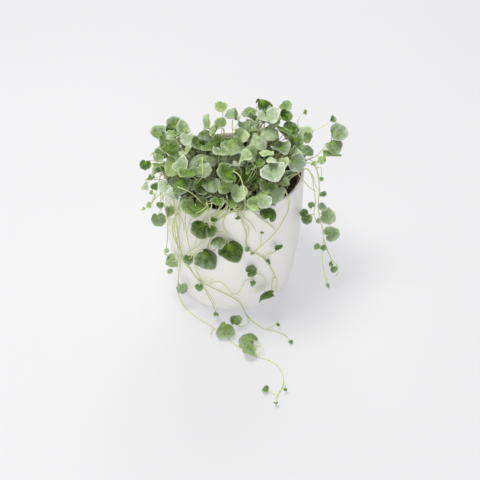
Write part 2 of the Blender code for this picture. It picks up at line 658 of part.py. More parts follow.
# Leaves of the mound that the reference view shows: where it shows the blade's middle (across, down), the
# share of the dome at which it stands, its width in millimetres, its spin, nod and turn, and perhaps a form
MOUND_LEAVES = [
    (160, 132.5, 1.0, 16, 55, 25, -30, POINTED), (175, 123.5, 0.99, 14, 75, 14, -20, POINTED),
    (183.5, 126, 0.94, 15, 60, 15, 38), (175, 138.5, 1.02, 19, -90, 52, 0, CUPPED),
    (187, 141, 1.02, 15, -100, 20, 8),
    (164, 138, 1.0, 13, -90, 15, -50), (163, 147, 1.0, 12, -80, 44, 0), (157, 156, 1.0, 14, -100, 12, -10),
    (171, 153, 1.03, 20, -100, 38, 0), (145, 166, 1.0, 12, -95, 8, 0), (154, 173, 1.0, 14, 180, 72, 0),
    (170, 168, 1.04, 20, -58, 26, -16), (183, 166, 1.03, 17, -70, 40, 12), (180, 158, 0.98, 14, -90, 58, 0),
    (203, 154, 1.03, 22, 95, 34, 0, DOMED), (208.5, 123, 0.95, 15, 88, 5, -58, POINTED),
    (204.5, 131.5, 0.98, 13, -90, 66, 0, DOMED), (195, 144, 1.0, 14, -100, 36, 0),
    (208, 144, 0.98, 16, -80, 44, 10), (188, 153, 1.0, 14, -90, 34, 0), (192, 167, 1.0, 14, -120, 30, -20),
    (221, 106.5, 1.0, 11, -105, 12, 0, POINTED), (234, 113.5, 1.0, 12, 85, 10, 20, RIDGED),
    (219.5, 122, 0.98, 12, 120, 20, -10, CUPPED), (238, 121, 0.97, 12, 70, 20, 52),
    (250.5, 107.5, 1.0, 19, 92, 30, 0, DOMED), (247.5, 127, 0.96, 13, -88, 5, -50, POINTED),
    (266.5, 99.5, 0.98, 21, 20, 50, 0, DOMED), (269, 122, 1.03, 24, -78, 38, 4, KIDNEY),
    (270, 130.5, 0.98, 17, -85, 40, 0, DOMED), (258, 140, 1.0, 17, -92, 44, 0, DOMED),
    (234, 145, 1.0, 25, -85, 50, 0, WAVED), (222, 155, 1.0, 19, -80, 48, 0),
    (253, 155, 1.04, 16, -60, 26, 0), (243, 160, 1.02, 18, -95, 48, 0), (259, 165, 1.02, 12, -90, 10, 0),
    (235, 168, 1.02, 18, -90, 58, 0), (249, 171, 1.04, 13, -90, 62, 0),
    (224, 176, 1.04, 21, 190, 24, 0, CUPPED), (285.5, 106.5, 1.0, 12, -42, 24, 0, POINTED),
    (282, 150, 0.98, 20, -88, 44, 0), (295, 153, 0.97, 12, -60, 30, 0), (297, 163, 1.0, 19, -58, 22, 0),
    (280, 167, 1.02, 19, -62, 30, 10), (275, 160, 1.02, 14, -90, 62, 0),
    (273, 178, 1.04, 24, -80, 20, 0, CUPPED), (262, 196, 1.06, 18, 200, 24, 0, DOMED),
    (277, 192, 1.0, 16, -70, 26, 0), (265, 205, 1.02, 15, -80, 40, 0), (238, 194, 1.0, 18, -90, 10, 0),
    (248, 178, 0.98, 19, -80, 30, 0), (215, 196, 0.96, 20, -82, 38, 0),
    (190, 179, 1.05, 23, -88, 40, 0, CUPPED), (173, 195, 1.02, 14, -100, 50, 0),
    (163, 188, 1.04, 14, 200, 46, -40), (206, 170, 0.97, 16, -90, 40, 0), (212, 184, 0.98, 17, -100, 32, 0),
    (228, 188, 0.97, 15, -70, 28, 0), (292, 176, 0.93, 12, -40, 34, 0), (286, 183, 0.97, 9, -60, 30, 0),
    (216, 133, 0.94, 15, -90, 50, 0), (258, 122, 0.92, 15, 80, 20, -30), (241, 136, 0.93, 14, 90, 20, 20),
    (150, 181, 1.02, 11, 190, 50, -20), (199, 188, 1.0, 15, -110, 40, 0), (225, 203, 1.0, 16, -80, 28, 0),
    (251, 203, 1.04, 13, -95, 15, 30),
]


def grow_runner(plant, node, runner):
    """Lays a runner's stems, then its leaves, each leaf on the nearest stem and nudged towards the viewer
    until it is clear."""
    around, out = runner["root"]
    around, out = math.radians(around), out * MM
    root = np.array([out * math.cos(around), out * math.sin(around), SOIL_TOP])
    outward = np.array([math.cos(around), math.sin(around), 0])
    rise = [root - UP * ROOT_DEPTH, root + UP * RUNNER_RISE / 4, root + UP * RUNNER_RISE + outward * 2 * MM]
    main = smooth_path([*rise, *runner["stem"]], STEM_SPACING)
    plant.add_stem(node, main, RUNNER_RADIUS * 1.15, RUNNER_RADIUS * 0.75)
    stems = [main[5:]]
    for side in runner["side"]:
        path = smooth_path(side, STEM_SPACING)
        path[0] = main[np.linalg.norm(main - path[0], axis=1).argmin()]
        plant.add_stem(node, path, RUNNER_RADIUS * 0.85, RUNNER_RADIUS * 0.6)
        stems.append(path)
    along = np.vstack(stems)
    for centre, width, spin, nod, turn, *own in runner["leaf"]:
        leaf = make_leaf(centre, width * MM, spin, nod, turn, own, plant.draw)
        for step in range(NUDGES):
            tried = moved(leaf, unit(VIEW_EYE - centre) * step * NUDGE)
            away = np.linalg.norm(along - tried["base"], axis=1)
            start = along[np.where(away > LEAST_PETIOLE, away, np.inf).argmin()]
            leave = unit(tried["base"] - start + 0.3 * leaf["tip"])
            if plant.blade_clear(tried) and plant.add_leaf(node, tried, start, leave):
                break


def grow_back_runner(plant, node, around, length):
    """A runner out of the reference view: over the rim, then down the wall with a slight sway, a leaf on each
    side in turn."""
    draw = plant.draw
    sway = draw.uniform(0, 2 * math.pi)

    def beside(radius, height, turn):
        return np.array([radius * math.cos(turn), radius * math.sin(turn), height])

    points = [beside(0.052, SOIL_TOP + rise, around) for rise in (-ROOT_DEPTH, RUNNER_RISE / 4, RUNNER_RISE)]
    points += [beside(0.061, POT_HEIGHT + 0.006, around), beside(0.070, POT_HEIGHT + 0.006, around)]
    points.append(beside(0.076, POT_HEIGHT - 0.004, around))
    for drop in np.arange(0.016, length, 0.012):
        height = POT_HEIGHT - drop
        aside = 0.1 * math.sin(drop * 45 + sway)
        points.append(beside(float(pot_radius(height)) + 0.005, height, around + aside))
    path = smooth_path(points, STEM_SPACING)
    plant.add_stem(node, path, RUNNER_RADIUS * 1.1, RUNNER_RADIUS * 0.7)
    for step in range(5, len(path)):
        start = path[step]
        out = unit(start * np.array([1, 1, 0]))
        side = np.cross(UP, out) * (1 if step % 2 else -1)
        for push in (0, 2, 4, 7, 10):
            width = draw.uniform(9, 17) * MM
            normal = unit(out * 0.9 + UP * draw.uniform(0.1, 0.7) + draw.normal(0, 0.2, 3))
            tip = unit(np.cross(np.cross(normal, side - UP * 0.8 + draw.normal(0, 0.2, 3)), normal))
            centre = start + out * (0.007 + push * MM) + side * 0.008 + tip * width * 0.3
            leaf = shaped_leaf(centre, width, tip, normal, draw)
            if plant.blade_clear(leaf) and plant.add_leaf(node, leaf, start, unit(out + 0.6 * side)):
                break


def grow_shoots(plant):
    """The tufts' own stems: each is rooted on a sunflower spiral over the soil and creeps a short way over
    it. Gives the buds along them, by node."""
    buds = []
    for number in range(TUFTS):
        node = f"tuft_{number + 1:02d}"
        radius, around = TUFT_RING * math.sqrt((number + 0.5) / TUFTS), number * GOLDEN_ANGLE
        root = np.array([radius * math.cos(around), radius * math.sin(around), SOIL_TOP])
        for lean in SHOOT_LEANS:
            heading = around + math.radians(lean)
            way = np.array([math.cos(heading), math.sin(heading), 0])
            level = root + UP * SHOOT_HEIGHT
            points = [root - UP * ROOT_DEPTH, root, level + way * 3 * MM]
            points += [level + way * SHOOT_LENGTH / 2, level + way * SHOOT_LENGTH + UP * 3 * MM]
            path = smooth_path(points, STEM_SPACING)
            creeping = stem_shell(path[3:], SHOOT_RADIUS + CLEARANCE, SHOOT_RADIUS + CLEARANCE, 4)
            if plant.clear(creeping):
                plant.add_stem(node, path, SHOOT_RADIUS * 1.2, SHOOT_RADIUS * 0.8)
                fine = smooth_path(points, FINE_SPACING)[-round(SHOOT_LENGTH / FINE_SPACING) :]
                run = np.linspace(0, SHOOT_LENGTH, len(fine))
                for bud in np.arange(FIRST_BUD, SHOOT_LENGTH, BUD_SPACING):
                    buds.append((node, np.array([np.interp(bud, run, fine[:, axis]) for axis in range(3)])))
                break
    return buds


# How a petiole may leave its bud: how much it climbs and how much it bends to the side
PETIOLE_BENDS = [(0.9, 0), (1.7, 0), (0.3, 0), (0.9, 0.6), (0.9, -0.6), (2.5, 0.3), (2.5, -0.3)]


def grow_from_bud(plant, buds, leaf, shifts):
    """Tries the leaf at each shift, from each of the nearest buds and bent several ways, and keeps the first
    that is clear. Each bud bears one leaf."""
    for shift in shifts:
        tried = moved(leaf, shift)
        if not plant.blade_clear(tried):
            continue
        foot = tried["base"] * np.array([0.62, 0.62, 0]) + UP * SOIL_TOP
        order = np.linalg.norm([place - foot for _, place in buds], axis=1).argsort()[:BUDS_TRIED]
        for number in order:
            node, start = buds[number]
            outward = unit(tried["base"] - start)
            aside = unit(np.cross(outward, UP))
            for climb, bend in PETIOLE_BENDS:
                if plant.add_leaf(node, tried, start, unit(outward + UP * climb + aside * bend)):
                    buds.pop(number)
                    return True
    return False


# How far the spin, nod and turn of a leaf of the mound stray, in degrees, if it has no form of its own
MOUND_SPREAD = np.array([40, 18, 24])
# Shifts of a leaf along the line of sight, in millimetres, in the order in which they are tried
MOUND_NUDGES = [0, 1.5, -1.5, 3, -3, 5, -5, 7, -7, 9, -9, 12, -12, 15, -15]


def grow_mound(plant, buds):
    """The leaves that the view shows, each nudged along the line of sight where it must be, then others where
    light would get down to the soil: a leaf grows on the way of each ray that no blade stops."""
    for across, down, share, width, spin, nod, turn, *own in MOUND_LEAVES:
        centre = dome(across, down, share)
        if not own:
            spin, nod, turn = np.array([spin, nod, turn]) + plant.draw.normal(0, 1, 3) * MOUND_SPREAD
        leaf = make_leaf(centre, width * MM, spin, nod, turn, own, plant.draw)
        grow_from_bud(plant, buds, leaf, [unit(VIEW_EYE - centre) * nudge * MM for nudge in MOUND_NUDGES])
    draw = plant.draw
    for number in range(LIGHT_RAYS):
        if len(plant.leaves) >= MOST_LEAVES or not buds:
            break
        around = number * GOLDEN_ANGLE
        towards_light = unit(np.array([math.cos(around), math.sin(around), draw.uniform(0.5, 2.5)]))
        if number % 6 == 0:
            towards_light = unit(TOWARDS_VIEWER + draw.normal(0, 0.08, 3))
        spread = 0.88 * math.sqrt(draw.uniform(0, 1))
        away = draw.uniform(0, 2 * math.pi)
        spot = DOME_CENTRE + DOME_RADII * np.array([math.cos(away), math.sin(away), 0]) * spread
        spot[2] += draw.uniform(0.004, 0.018)
        start, way = (spot - DOME_CENTRE) / DOME_RADII, towards_light / DOME_RADII
        half = (start @ way) / (way @ way)
        out = -half + math.sqrt(half * half + (1 - start @ start) / (way @ way))
        if not plant.lit(spot + towards_light * (out + 0.02), -towards_light, out + 0.02):
            continue
        shifts = np.linspace(out - 0.002, 0.15 * out, 14)[:, None] * towards_light
        shifts = [shift for shift in shifts if seen_in_mound(spot + shift)]
        normal = unit(towards_light * 0.5 + UP * 0.5 + draw.normal(0, 0.34, 3))
        tip = unit(np.cross(np.cross(normal, towards_light + draw.normal(0, 0.9, 3) - UP * 0.5), normal))
        leaf = shaped_leaf(spot, draw.uniform(12, 20) * MM, tip, normal, draw)
        grow_from_bud(plant, buds, leaf, shifts)


def grow_plant():
    """The whole plant, in the order in which its pieces take their room."""
    plant = Plant(np.random.RandomState(SEED))
    for node, runner in runners().items():
        grow_runner(plant, node, runner)
    for node, (around, length) in BACK_RUNNERS.items():
        grow_back_runner(plant, node, around, length)
    grow_mound(plant, grow_shoots(plant))
    return plant


# Blender objects


def material(name, colour, roughness):
    """A plain Principled material."""
    made = bpy.data.materials.new(name)
    made.use_nodes = True
    shader = made.node_tree.nodes["Principled BSDF"]
    shader.inputs["Base Color"].default_value = (*colour, 1.0)
    shader.inputs["Roughness"].default_value = roughness
    shader.inputs["Metallic"].default_value = 0.0
    return made


def mesh_object(name, points, faces, surface):
    """An object in the scene from points and faces."""
    mesh = bpy.data.meshes.new(name)
    mesh.from_pydata([tuple(p) for p in points], [], faces)
    mesh.materials.append(surface)
    made = bpy.data.objects.new(name, mesh)
    bpy.context.scene.collection.objects.link(made)
    return made


def turned(name, profile, sides, surface):
    """A profile of (radius, height) from axis to axis, spun round Z."""
    form = bmesh.new()
    verts = [form.verts.new((radius, 0, height)) for radius, height in profile]
    edges = [form.edges.new(pair) for pair in zip(verts, verts[1:])]
    bmesh.ops.spin(form, geom=verts + edges, cent=(0, 0, 0), axis=(0, 0, 1), angle=2 * math.pi, steps=sides)
    bmesh.ops.remove_doubles(form, verts=form.verts, dist=1e-6)
    bmesh.ops.recalc_face_normals(form, faces=form.faces)
    mesh = bpy.data.meshes.new(name)
    form.to_mesh(mesh)
    form.free()
    mesh.materials.append(surface)
    mesh.shade_smooth()
    mesh.set_sharp_from_angle(angle=math.radians(40))
    made = bpy.data.objects.new(name, mesh)
    bpy.context.scene.collection.objects.link(made)
    return made


def joined(node, shells, surface):
    """One body from overlapping shells: the first, united with a collection of the others."""
    first = mesh_object(node, *shells[0], surface)
    others = bpy.data.collections.new(node + "_others")
    bpy.context.scene.collection.children.link(others)
    for number, shell in enumerate(shells[1:]):
        piece = mesh_object(f"{node}_{number}", *shell, surface)
        bpy.context.scene.collection.objects.unlink(piece)
        others.objects.link(piece)
    union = first.modifiers.new("union", "BOOLEAN")
    union.operation = "UNION"
    union.operand_type = "COLLECTION"
    union.collection = others
    union.solver = "MANIFOLD"
    bpy.context.view_layer.update()
    united = bpy.data.meshes.new_from_object(first.evaluated_get(bpy.context.evaluated_depsgraph_get()))
    first.modifiers.remove(union)
    first.data = united
    for piece in list(others.objects):
        bpy.data.objects.remove(piece)
    bpy.data.collections.remove(others)
    return first


def cut_holes(target, places, radius, low, high, sides):
    """Cuts upright round holes through target at the places."""
    cutters = bpy.data.collections.new(target.name + "_holes")
    cutters.hide_render = True
    bpy.context.scene.collection.children.link(cutters)
    for number, (x, y) in enumerate(places):
        turns = [2 * math.pi * k / sides for k in range(sides)]
        ring = [(x + radius * math.cos(t), y + radius * math.sin(t)) for t in turns]
        points = [(*p, low) for p in ring] + [(*p, high) for p in ring]
        faces = [tuple(reversed(range(sides))), tuple(range(sides, 2 * sides))]
        faces += [(k, (k + 1) % sides, sides + (k + 1) % sides, sides + k) for k in range(sides)]
        cutter = mesh_object(f"{target.name}_hole_{number}", points, faces, target.data.materials[0])
        bpy.context.scene.collection.objects.unlink(cutter)
        cutters.objects.link(cutter)
    cut = target.modifiers.new("holes", "BOOLEAN")
    cut.operation = "DIFFERENCE"
    cut.operand_type = "COLLECTION"
    cut.collection = cutters
    cut.solver = "EXACT"
    bpy.context.view_layer.update()
    target.data = bpy.data.meshes.new_from_object(target.evaluated_get(bpy.context.evaluated_depsgraph_get()))
    target.modifiers.clear()
    for cutter in list(cutters.objects):
        bpy.data.objects.remove(cutter)
    bpy.data.collections.remove(cutters)


def cover_pot(surface):
    """White ceramic pot: a flat base, a rounded foot, a wall that curves in to the foot, and a round lip."""
    profile = [(0, 0), (float(pot_radius(0)) - POT_FOOT_ROUND, 0)]
    for turn in np.radians([30, 60, 90]):
        height = POT_FOOT_ROUND * (1 - math.cos(turn))
        profile.append((float(pot_radius(height)) - POT_FOOT_ROUND * (1 - math.sin(turn)), height))
    lip = POT_WALL / 2
    for height in np.linspace(0.018, POT_HEIGHT - lip, 7):
        profile.append((float(pot_radius(height)), height))
    for turn in np.radians([60, 120, 180]):
        height = POT_HEIGHT - lip + lip * math.sin(turn)
        profile.append((POT_RIM_RADIUS - lip + lip * math.cos(turn), height))
    for height in np.linspace(0.11, POT_FLOOR + 0.004, 4):
        profile.append((float(pot_radius(height)) - POT_WALL, height))
    profile += [(float(pot_radius(POT_FLOOR)) - POT_WALL - 0.004, POT_FLOOR), (0, POT_FLOOR)]
    return turned("cover_pot", profile, POT_SIDES, surface)


def grow_pot(surface):
    """Thin taupe plastic pot with a rolled rim and drainage holes, standing in the cover pot."""
    low, high = GROW_STANDS_AT, GROW_TOP
    outer = [(float(grow_radius(z)), z) for z in (low + 0.002, high - 0.009)]
    lip = float(grow_radius(high))
    profile = [(0, low), (GROW_BASE_RADIUS - 0.002, low), *outer]
    profile += [(lip, high - 0.008), (lip, high - 0.0006)]
    profile += [(lip - 0.0008, high), (lip - GROW_WALL, high - 0.0002)]
    profile += [(float(grow_radius(z)) - GROW_WALL, z) for z in (high - 0.010, low + GROW_FLOOR + 0.001)]
    profile += [(GROW_BASE_RADIUS - 0.0035, low + GROW_FLOOR), (0, low + GROW_FLOOR)]
    made = turned("grow_pot", profile, GROW_SIDES, surface)
    turns = [2 * math.pi * k / GROW_HOLES for k in range(GROW_HOLES)]
    places = [(GROW_HOLE_RING * math.cos(t), GROW_HOLE_RING * math.sin(t)) for t in turns]
    cut_holes(made, places, GROW_HOLE_RADIUS, low - 0.002, low + GROW_FLOOR + 0.002, 8)
    return made


def soil_height(x, y):
    """Top of the soil: a few low waves."""
    waves = np.sin(190 * x + 1) * np.cos(170 * y) + np.sin(310 * y + 140 * x)
    return SOIL_TOP + SOIL_BUMP * waves / 2


def soil_radius(height):
    """Outer radius of the soil, just inside the grow pot's wall."""
    return float(grow_radius(height)) - GROW_WALL - SOIL_GAP


def soil(surface, places):
    """Potting soil: it fills the grow pot nearly to its rim, and each stem stands in a plain hole in it."""
    low = GROW_STANDS_AT + GROW_FLOOR + SOIL_GAP
    edge = soil_radius(SOIL_TOP)
    profile = [(0, low), (GROW_BASE_RADIUS - 0.0045, low), (soil_radius(low + 0.003), low + 0.003)]
    profile += [(edge * share, SOIL_TOP) for share in (1, 0.72, 0.40, 0)]
    made = turned("soil", profile, GROW_SIDES, surface)
    for vertex in made.data.vertices:
        if vertex.co.z > SOIL_TOP - 0.1 * MM and math.hypot(vertex.co.x, vertex.co.y) < edge * 0.9:
            vertex.co.z = soil_height(vertex.co.x, vertex.co.y)
    cut_holes(made, places, STEM_HOLE_RADIUS, SOIL_TOP - STEM_HOLE_DEPTH, SOIL_TOP + 0.01, STEM_HOLE_SIDES)
    return made


def build():
    """Clears the scene and builds every piece."""
    for old in list(bpy.data.objects):
        bpy.data.objects.remove(old)
    ceramic = material("white_ceramic", (0.86, 0.85, 0.83), 0.35)
    plastic = material("taupe_plastic", (0.33, 0.27, 0.25), 0.5)
    earth = material("potting_soil", (0.045, 0.034, 0.028), 0.95)
    leaf_green = material("silver_green_leaf", (0.26, 0.36, 0.22), 0.75)
    cover_pot(ceramic)
    grow_pot(plastic)

    plant = grow_plant()
    shells, roots = {}, {}
    for node, path, start_radius, end_radius in plant.stems:
        shells.setdefault(node, []).append(stem_shell(path, start_radius, end_radius, STEM_SIDES))
        roots.setdefault(node, tuple(path[0][:2]))
    for node, leaf, start, leave in plant.leaves:
        petiole = petiole_shell(petiole_path(start, leave, leaf), PETIOLE_RADIUS, STEM_SIDES)
        shells[node] += [petiole, blade_shell(leaf, BLADE_THICKNESS)]
    soil(earth, roots.values())
    for node, pieces in shells.items():
        joined(node, pieces, leaf_green)


build()
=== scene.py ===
"""Potted silver dichondra, dressed for the camera: glazed cover pot, grow pot, soil, tufts and runners.

Metres, +Z up, in the part's own frame: the origin is the centre of the cover pot's base, +X is to the
right of the reference view and +Y points away from it. The plant grows here by the same rule, routes and
places as in the part's source, and then gets finer leaves and stems.
"""

import math

import bpy
import numpy as np
from mathutils.bvhtree import BVHTree
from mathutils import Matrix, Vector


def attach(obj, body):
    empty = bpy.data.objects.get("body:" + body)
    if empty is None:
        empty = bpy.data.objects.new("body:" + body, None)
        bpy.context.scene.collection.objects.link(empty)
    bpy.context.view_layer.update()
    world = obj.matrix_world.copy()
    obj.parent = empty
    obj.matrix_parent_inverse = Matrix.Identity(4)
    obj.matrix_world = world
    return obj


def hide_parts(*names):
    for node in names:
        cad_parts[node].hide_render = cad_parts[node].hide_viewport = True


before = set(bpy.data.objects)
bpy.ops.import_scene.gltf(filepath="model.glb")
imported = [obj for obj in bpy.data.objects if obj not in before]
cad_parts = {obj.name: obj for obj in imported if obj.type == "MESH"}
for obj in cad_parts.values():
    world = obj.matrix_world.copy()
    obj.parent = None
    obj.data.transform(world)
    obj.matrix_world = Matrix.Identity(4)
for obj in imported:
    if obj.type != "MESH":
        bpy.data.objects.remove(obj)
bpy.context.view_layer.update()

# Floor, light and camera
# The pot stands on a plain pale floor that is faintly lit from within. A soft key hangs over it, a little to
# its left, two wide fills stand in front and behind, and the white room adds the rest. The camera looks down
# on the pot from the front.

VIEW_ELEVATION = math.radians(38.5)
VIEW_DISTANCE = 1.147
VIEW_TARGET = np.array([0.0064, 0.0, 0.050])
VIEW_FOCAL = 1100.0
VIEW_CENTRE = 240.0
TOWARDS_VIEWER = np.array([0.0, -math.cos(VIEW_ELEVATION), math.sin(VIEW_ELEVATION)])
VIEW_UP = np.array([0.0, math.sin(VIEW_ELEVATION), math.cos(VIEW_ELEVATION)])
VIEW_RIGHT = np.array([1.0, 0.0, 0.0])
VIEW_EYE = VIEW_TARGET + VIEW_DISTANCE * TOWARDS_VIEWER
UP = np.array([0.0, 0.0, 1.0])
MM = 0.001
SENSOR_WIDTH = 36.0
FLOOR_WIDTH = 14.0
FLOOR_DROP = 0.00005
LAMP_WHITE = (1.0, 0.985, 0.96)
ROOM_WHITE = (0.96, 0.97, 1.0, 1.0)
ROOM_STRENGTH = 0.32

scene = bpy.context.scene
scene.view_settings.view_transform = "Standard"

camera = bpy.data.objects.new("camera", bpy.data.cameras.new("camera"))
camera.data.sensor_width = SENSOR_WIDTH
camera.data.lens = SENSOR_WIDTH * VIEW_FOCAL / (2 * VIEW_CENTRE)
camera.location = VIEW_EYE
camera.rotation_euler = (math.pi / 2 - VIEW_ELEVATION, 0, 0)
scene.collection.objects.link(camera)
scene.camera = camera


def studio_light(name, place, size, power):
    """A square area light at place that faces the pot."""
    lamp = bpy.data.lights.new(name, "AREA")
    lamp.size = size
    lamp.energy = power
    lamp.color = LAMP_WHITE
    made = bpy.data.objects.new(name, lamp)
    made.location = place
    away = Vector(place) - Vector(VIEW_TARGET)
    made.rotation_euler = away.to_track_quat("Z", "Y").to_euler()
    scene.collection.objects.link(made)


studio_light("key", (-0.38, -0.12, 1.46), 0.55, 20.0)
studio_light("front_fill", (-0.2, -2.4, 1.15), 2.0, 27.0)
studio_light("back_fill", (0.2, 2.1, 1.5), 1.8, 36.0)

room = bpy.data.worlds.new("white_room")
scene.world = room
room.use_nodes = True
room.node_tree.nodes["Background"].inputs["Color"].default_value = ROOM_WHITE
room.node_tree.nodes["Background"].inputs["Strength"].default_value = ROOM_STRENGTH


def add(tree, kind, inputs=(), **settings):
    """Adds a shader node, with its inputs by name or number, each a value, a colour or an output."""
    made = tree.nodes.new("ShaderNode" + kind)
    for name, value in settings.items():
        setattr(made, name, value)
    for socket, value in dict(inputs).items():
        if isinstance(value, bpy.types.NodeSocket):
            tree.links.new(value, made.inputs[socket])
        elif isinstance(value, tuple):
            made.inputs[socket].default_value = (*value, 1.0)
        else:
            made.inputs[socket].default_value = value
    return made


def maths(tree, operation, *values, clamp=False):
    """The output of a Math node."""
    return add(tree, "Math", enumerate(values), operation=operation, use_clamp=clamp).outputs[0]


def blended(tree, share, first, second):
    """The output of a Mix node that goes from the first colour to the second."""
    return add(tree, "Mix", {0: share, 6: first, 7: second}, data_type="RGBA").outputs[2]


def finish(name, colour, roughness, **sockets):
    """A material with a Principled shader, whose other sockets are given by name with _ for a space."""
    made = bpy.data.materials.new(name)
    made.use_nodes = True
    shader = made.node_tree.nodes["Principled BSDF"]
    shader.inputs["Base Color"].default_value = (*colour, 1.0)
    shader.inputs["Roughness"].default_value = roughness
    for socket, value in sockets.items():
        shader.inputs[socket.replace("_", " ")].default_value = value
    return made, made.node_tree, shader


def mesh_from(name, points, faces, materials, of_face=0, **marks):
    """An object from whole arrays: its points, its faces as four corners each (a triangle names its last one
    twice), the number of each face's material, and marks, which are values by point that materials read."""
    mesh = bpy.data.meshes.new(name)
    real = np.ones(faces.shape, bool)
    real[:, 3] = faces[:, 3] != faces[:, 2]
    mesh.vertices.add(len(points))
    mesh.vertices.foreach_set("co", np.asarray(points, np.float32).ravel())
    mesh.loops.add(int(real.sum()))
    mesh.loops.foreach_set("vertex_index", faces[real].astype(np.int32))
    mesh.polygons.add(len(faces))
    mesh.polygons.foreach_set("loop_start", (real.sum(1).cumsum() - real.sum(1)).astype(np.int32))
    mesh.polygons.foreach_set("use_smooth", np.ones(len(faces), bool))
    mesh.polygons.foreach_set("material_index", np.broadcast_to(of_face, len(faces)).astype(np.int32))
    mesh.update(calc_edges=True)
    for mark, values in marks.items():
        layer = mesh.attributes.new(mark, "FLOAT", "POINT")
        layer.data.foreach_set("value", np.asarray(values, np.float32))
    for made in materials:
        mesh.materials.append(made)
    made = bpy.data.objects.new(name, mesh)
    scene.collection.objects.link(made)
    return made


white_floor = finish(
    "white_floor", (0.305, 0.305, 0.31), 0.9, Specular_IOR_Level=0.2,
    Emission_Color=(0.965, 0.97, 1.0, 1.0), Emission_Strength=0.440,
)[0]
half = FLOOR_WIDTH / 2
corners = np.array([(-half, -half, 0), (half, -half, 0), (half, half, 0), (-half, half, 0)])
floor_sheet = mesh_from("floor", corners - UP * FLOOR_DROP, np.array([[0, 1, 2, 3]]), [white_floor])

# Cover pot
# A white pot of slip-cast ceramic with a satin glaze. Its wall draws in to a rounded foot, its lip is round,
# and the ring that it stands on is wiped bare of glaze.

POT_HEIGHT = 0.140
POT_RIM_RADIUS = 0.070
POT_FLARE = 0.014
POT_FLARE_POWER = 3.1
POT_FOOT_ROUND = 0.005
POT_WALL = 0.0030
POT_FLOOR = 0.0050
POT_RECESS = 0.0012
FOOT_RING = 0.006
FOOT_BEVEL = 0.0008
BARE_HEIGHT = 0.0011
POT_CORNER = 0.004
POT_SIDES = 160
# How many times finer the second octave of a mottle is, and its share
FINE_OCTAVE, FINE_SHARE = 5.0, 0.35
# How steeply the mask of a speck falls off, and the value in its middle that it falls from, cut off at 1
SPECK_SLOPE, SPECK_PEAK = -6.0, 1.8


def pot_radius(z):
    """Outer radius of the cover pot's wall: full at the rim, drawn in by a power of the depth below it."""
    depth = np.clip(1 - np.asarray(z) / POT_HEIGHT, 0, 1)
    return POT_RIM_RADIUS - POT_FLARE * depth**POT_FLARE_POWER


def arc(centre, radius, start, end, count):
    """Points of a profile's arc about (radius, height), from one angle to another in degrees."""
    turn = np.radians(np.linspace(start, end, count))
    return np.stack([centre[0] + radius * np.cos(turn), centre[1] + radius * np.sin(turn)], -1)


def spun(profile, sides):
    """A profile of (radius, height) from axis to axis carried round Z: point (i, k) is (radius i times cos
    and sin of turn k, height i). Its two ends become poles. Gives points and faces."""
    profile = np.asarray(profile)
    turn = np.linspace(0, 2 * math.pi, sides, endpoint=False)
    radius, height = profile[1:-1, 0, None], profile[1:-1, 1, None]
    rings = np.stack([radius * np.cos(turn), radius * np.sin(turn), height + 0 * turn], -1)
    points = np.vstack([profile[0, 1] * UP, rings.reshape(-1, 3), profile[-1, 1] * UP])
    here = 1 + np.arange(rings.shape[0] * sides).reshape(-1, sides)
    after = np.roll(here, -1, axis=1)
    walls = np.stack([here[:-1], after[:-1], after[1:], here[1:]], -1).reshape(-1, 4)
    bottom = np.stack([0 * here[0], after[0], here[0], here[0]], -1)
    top = np.stack([0 * here[0] + len(points) - 1, here[-1], after[-1], after[-1]], -1)
    return points, np.vstack([bottom, walls, top])


def mask_group(name, **starts):
    """A node group with inputs by name, each with its starting value, and an output, Mask. Gives the group,
    its inputs, its output, the object's coordinates, and the scale of a pattern Size metres wide."""
    group = bpy.data.node_groups.new(name, "ShaderNodeTree")
    for given, start in starts.items():
        socket = group.interface.new_socket(given, in_out="INPUT", socket_type="NodeSocketFloat")
        socket.default_value = start
    group.interface.new_socket("Mask", in_out="OUTPUT", socket_type="NodeSocketFloat")
    place = add(group, "TexCoord").outputs["Object"]
    taken = group.nodes.new("NodeGroupOutput")
    asked = group.nodes.new("NodeGroupInput")
    scale = maths(group, "DIVIDE", 1.0, asked.outputs["Size"])
    return group, asked.outputs, taken.inputs["Mask"], place, scale


def mottle_group():
    """Cloudy unevenness: two octaves of noise, at Size metres and a fifth of it, spread round 0.5."""
    group, asked, mask, place, scale = mask_group("mottle", Size=0.01, Spread=2.0)
    fine_scale = maths(group, "MULTIPLY", scale, FINE_OCTAVE)
    broad = add(group, "TexNoise", {"Vector": place, "Scale": scale, "Detail": 1.0}).outputs[0]
    fine = add(group, "TexNoise", {"Vector": place, "Scale": fine_scale, "Detail": 1.0}).outputs[0]
    both = add(group, "Mix", {0: FINE_SHARE, 2: broad, 3: fine}, data_type="FLOAT").outputs[0]
    off = maths(group, "SUBTRACT", both, 0.5)
    group.links.new(maths(group, "MULTIPLY_ADD", off, asked["Spread"], 0.5, clamp=True), mask)
    return group


def specks_group():
    """Loose specks: the round middles of Voronoi cells Size metres wide, in the share Amount of the cells."""
    group, asked, mask, place, scale = mask_group("specks", Size=0.003, Amount=0.2)
    cells = add(group, "TexVoronoi", {"Vector": place, "Scale": scale})
    chance = add(group, "SeparateColor", {0: cells.outputs["Color"]}).outputs[0]
    kept = maths(group, "LESS_THAN", chance, asked["Amount"])
    off = cells.outputs["Distance"]
    near = maths(group, "MULTIPLY_ADD", off, SPECK_SLOPE, SPECK_PEAK, clamp=True)
    group.links.new(maths(group, "MULTIPLY", kept, near), mask)
    return group


MOTTLE = mottle_group()
SPECKS = specks_group()


def mottled(tree, size, spread=2.0):
    """The mask of a mottle node placed in a material."""
    made = add(tree, "Group", node_tree=MOTTLE)
    made.inputs["Size"].default_value = size
    made.inputs["Spread"].default_value = spread
    return made.outputs[0]


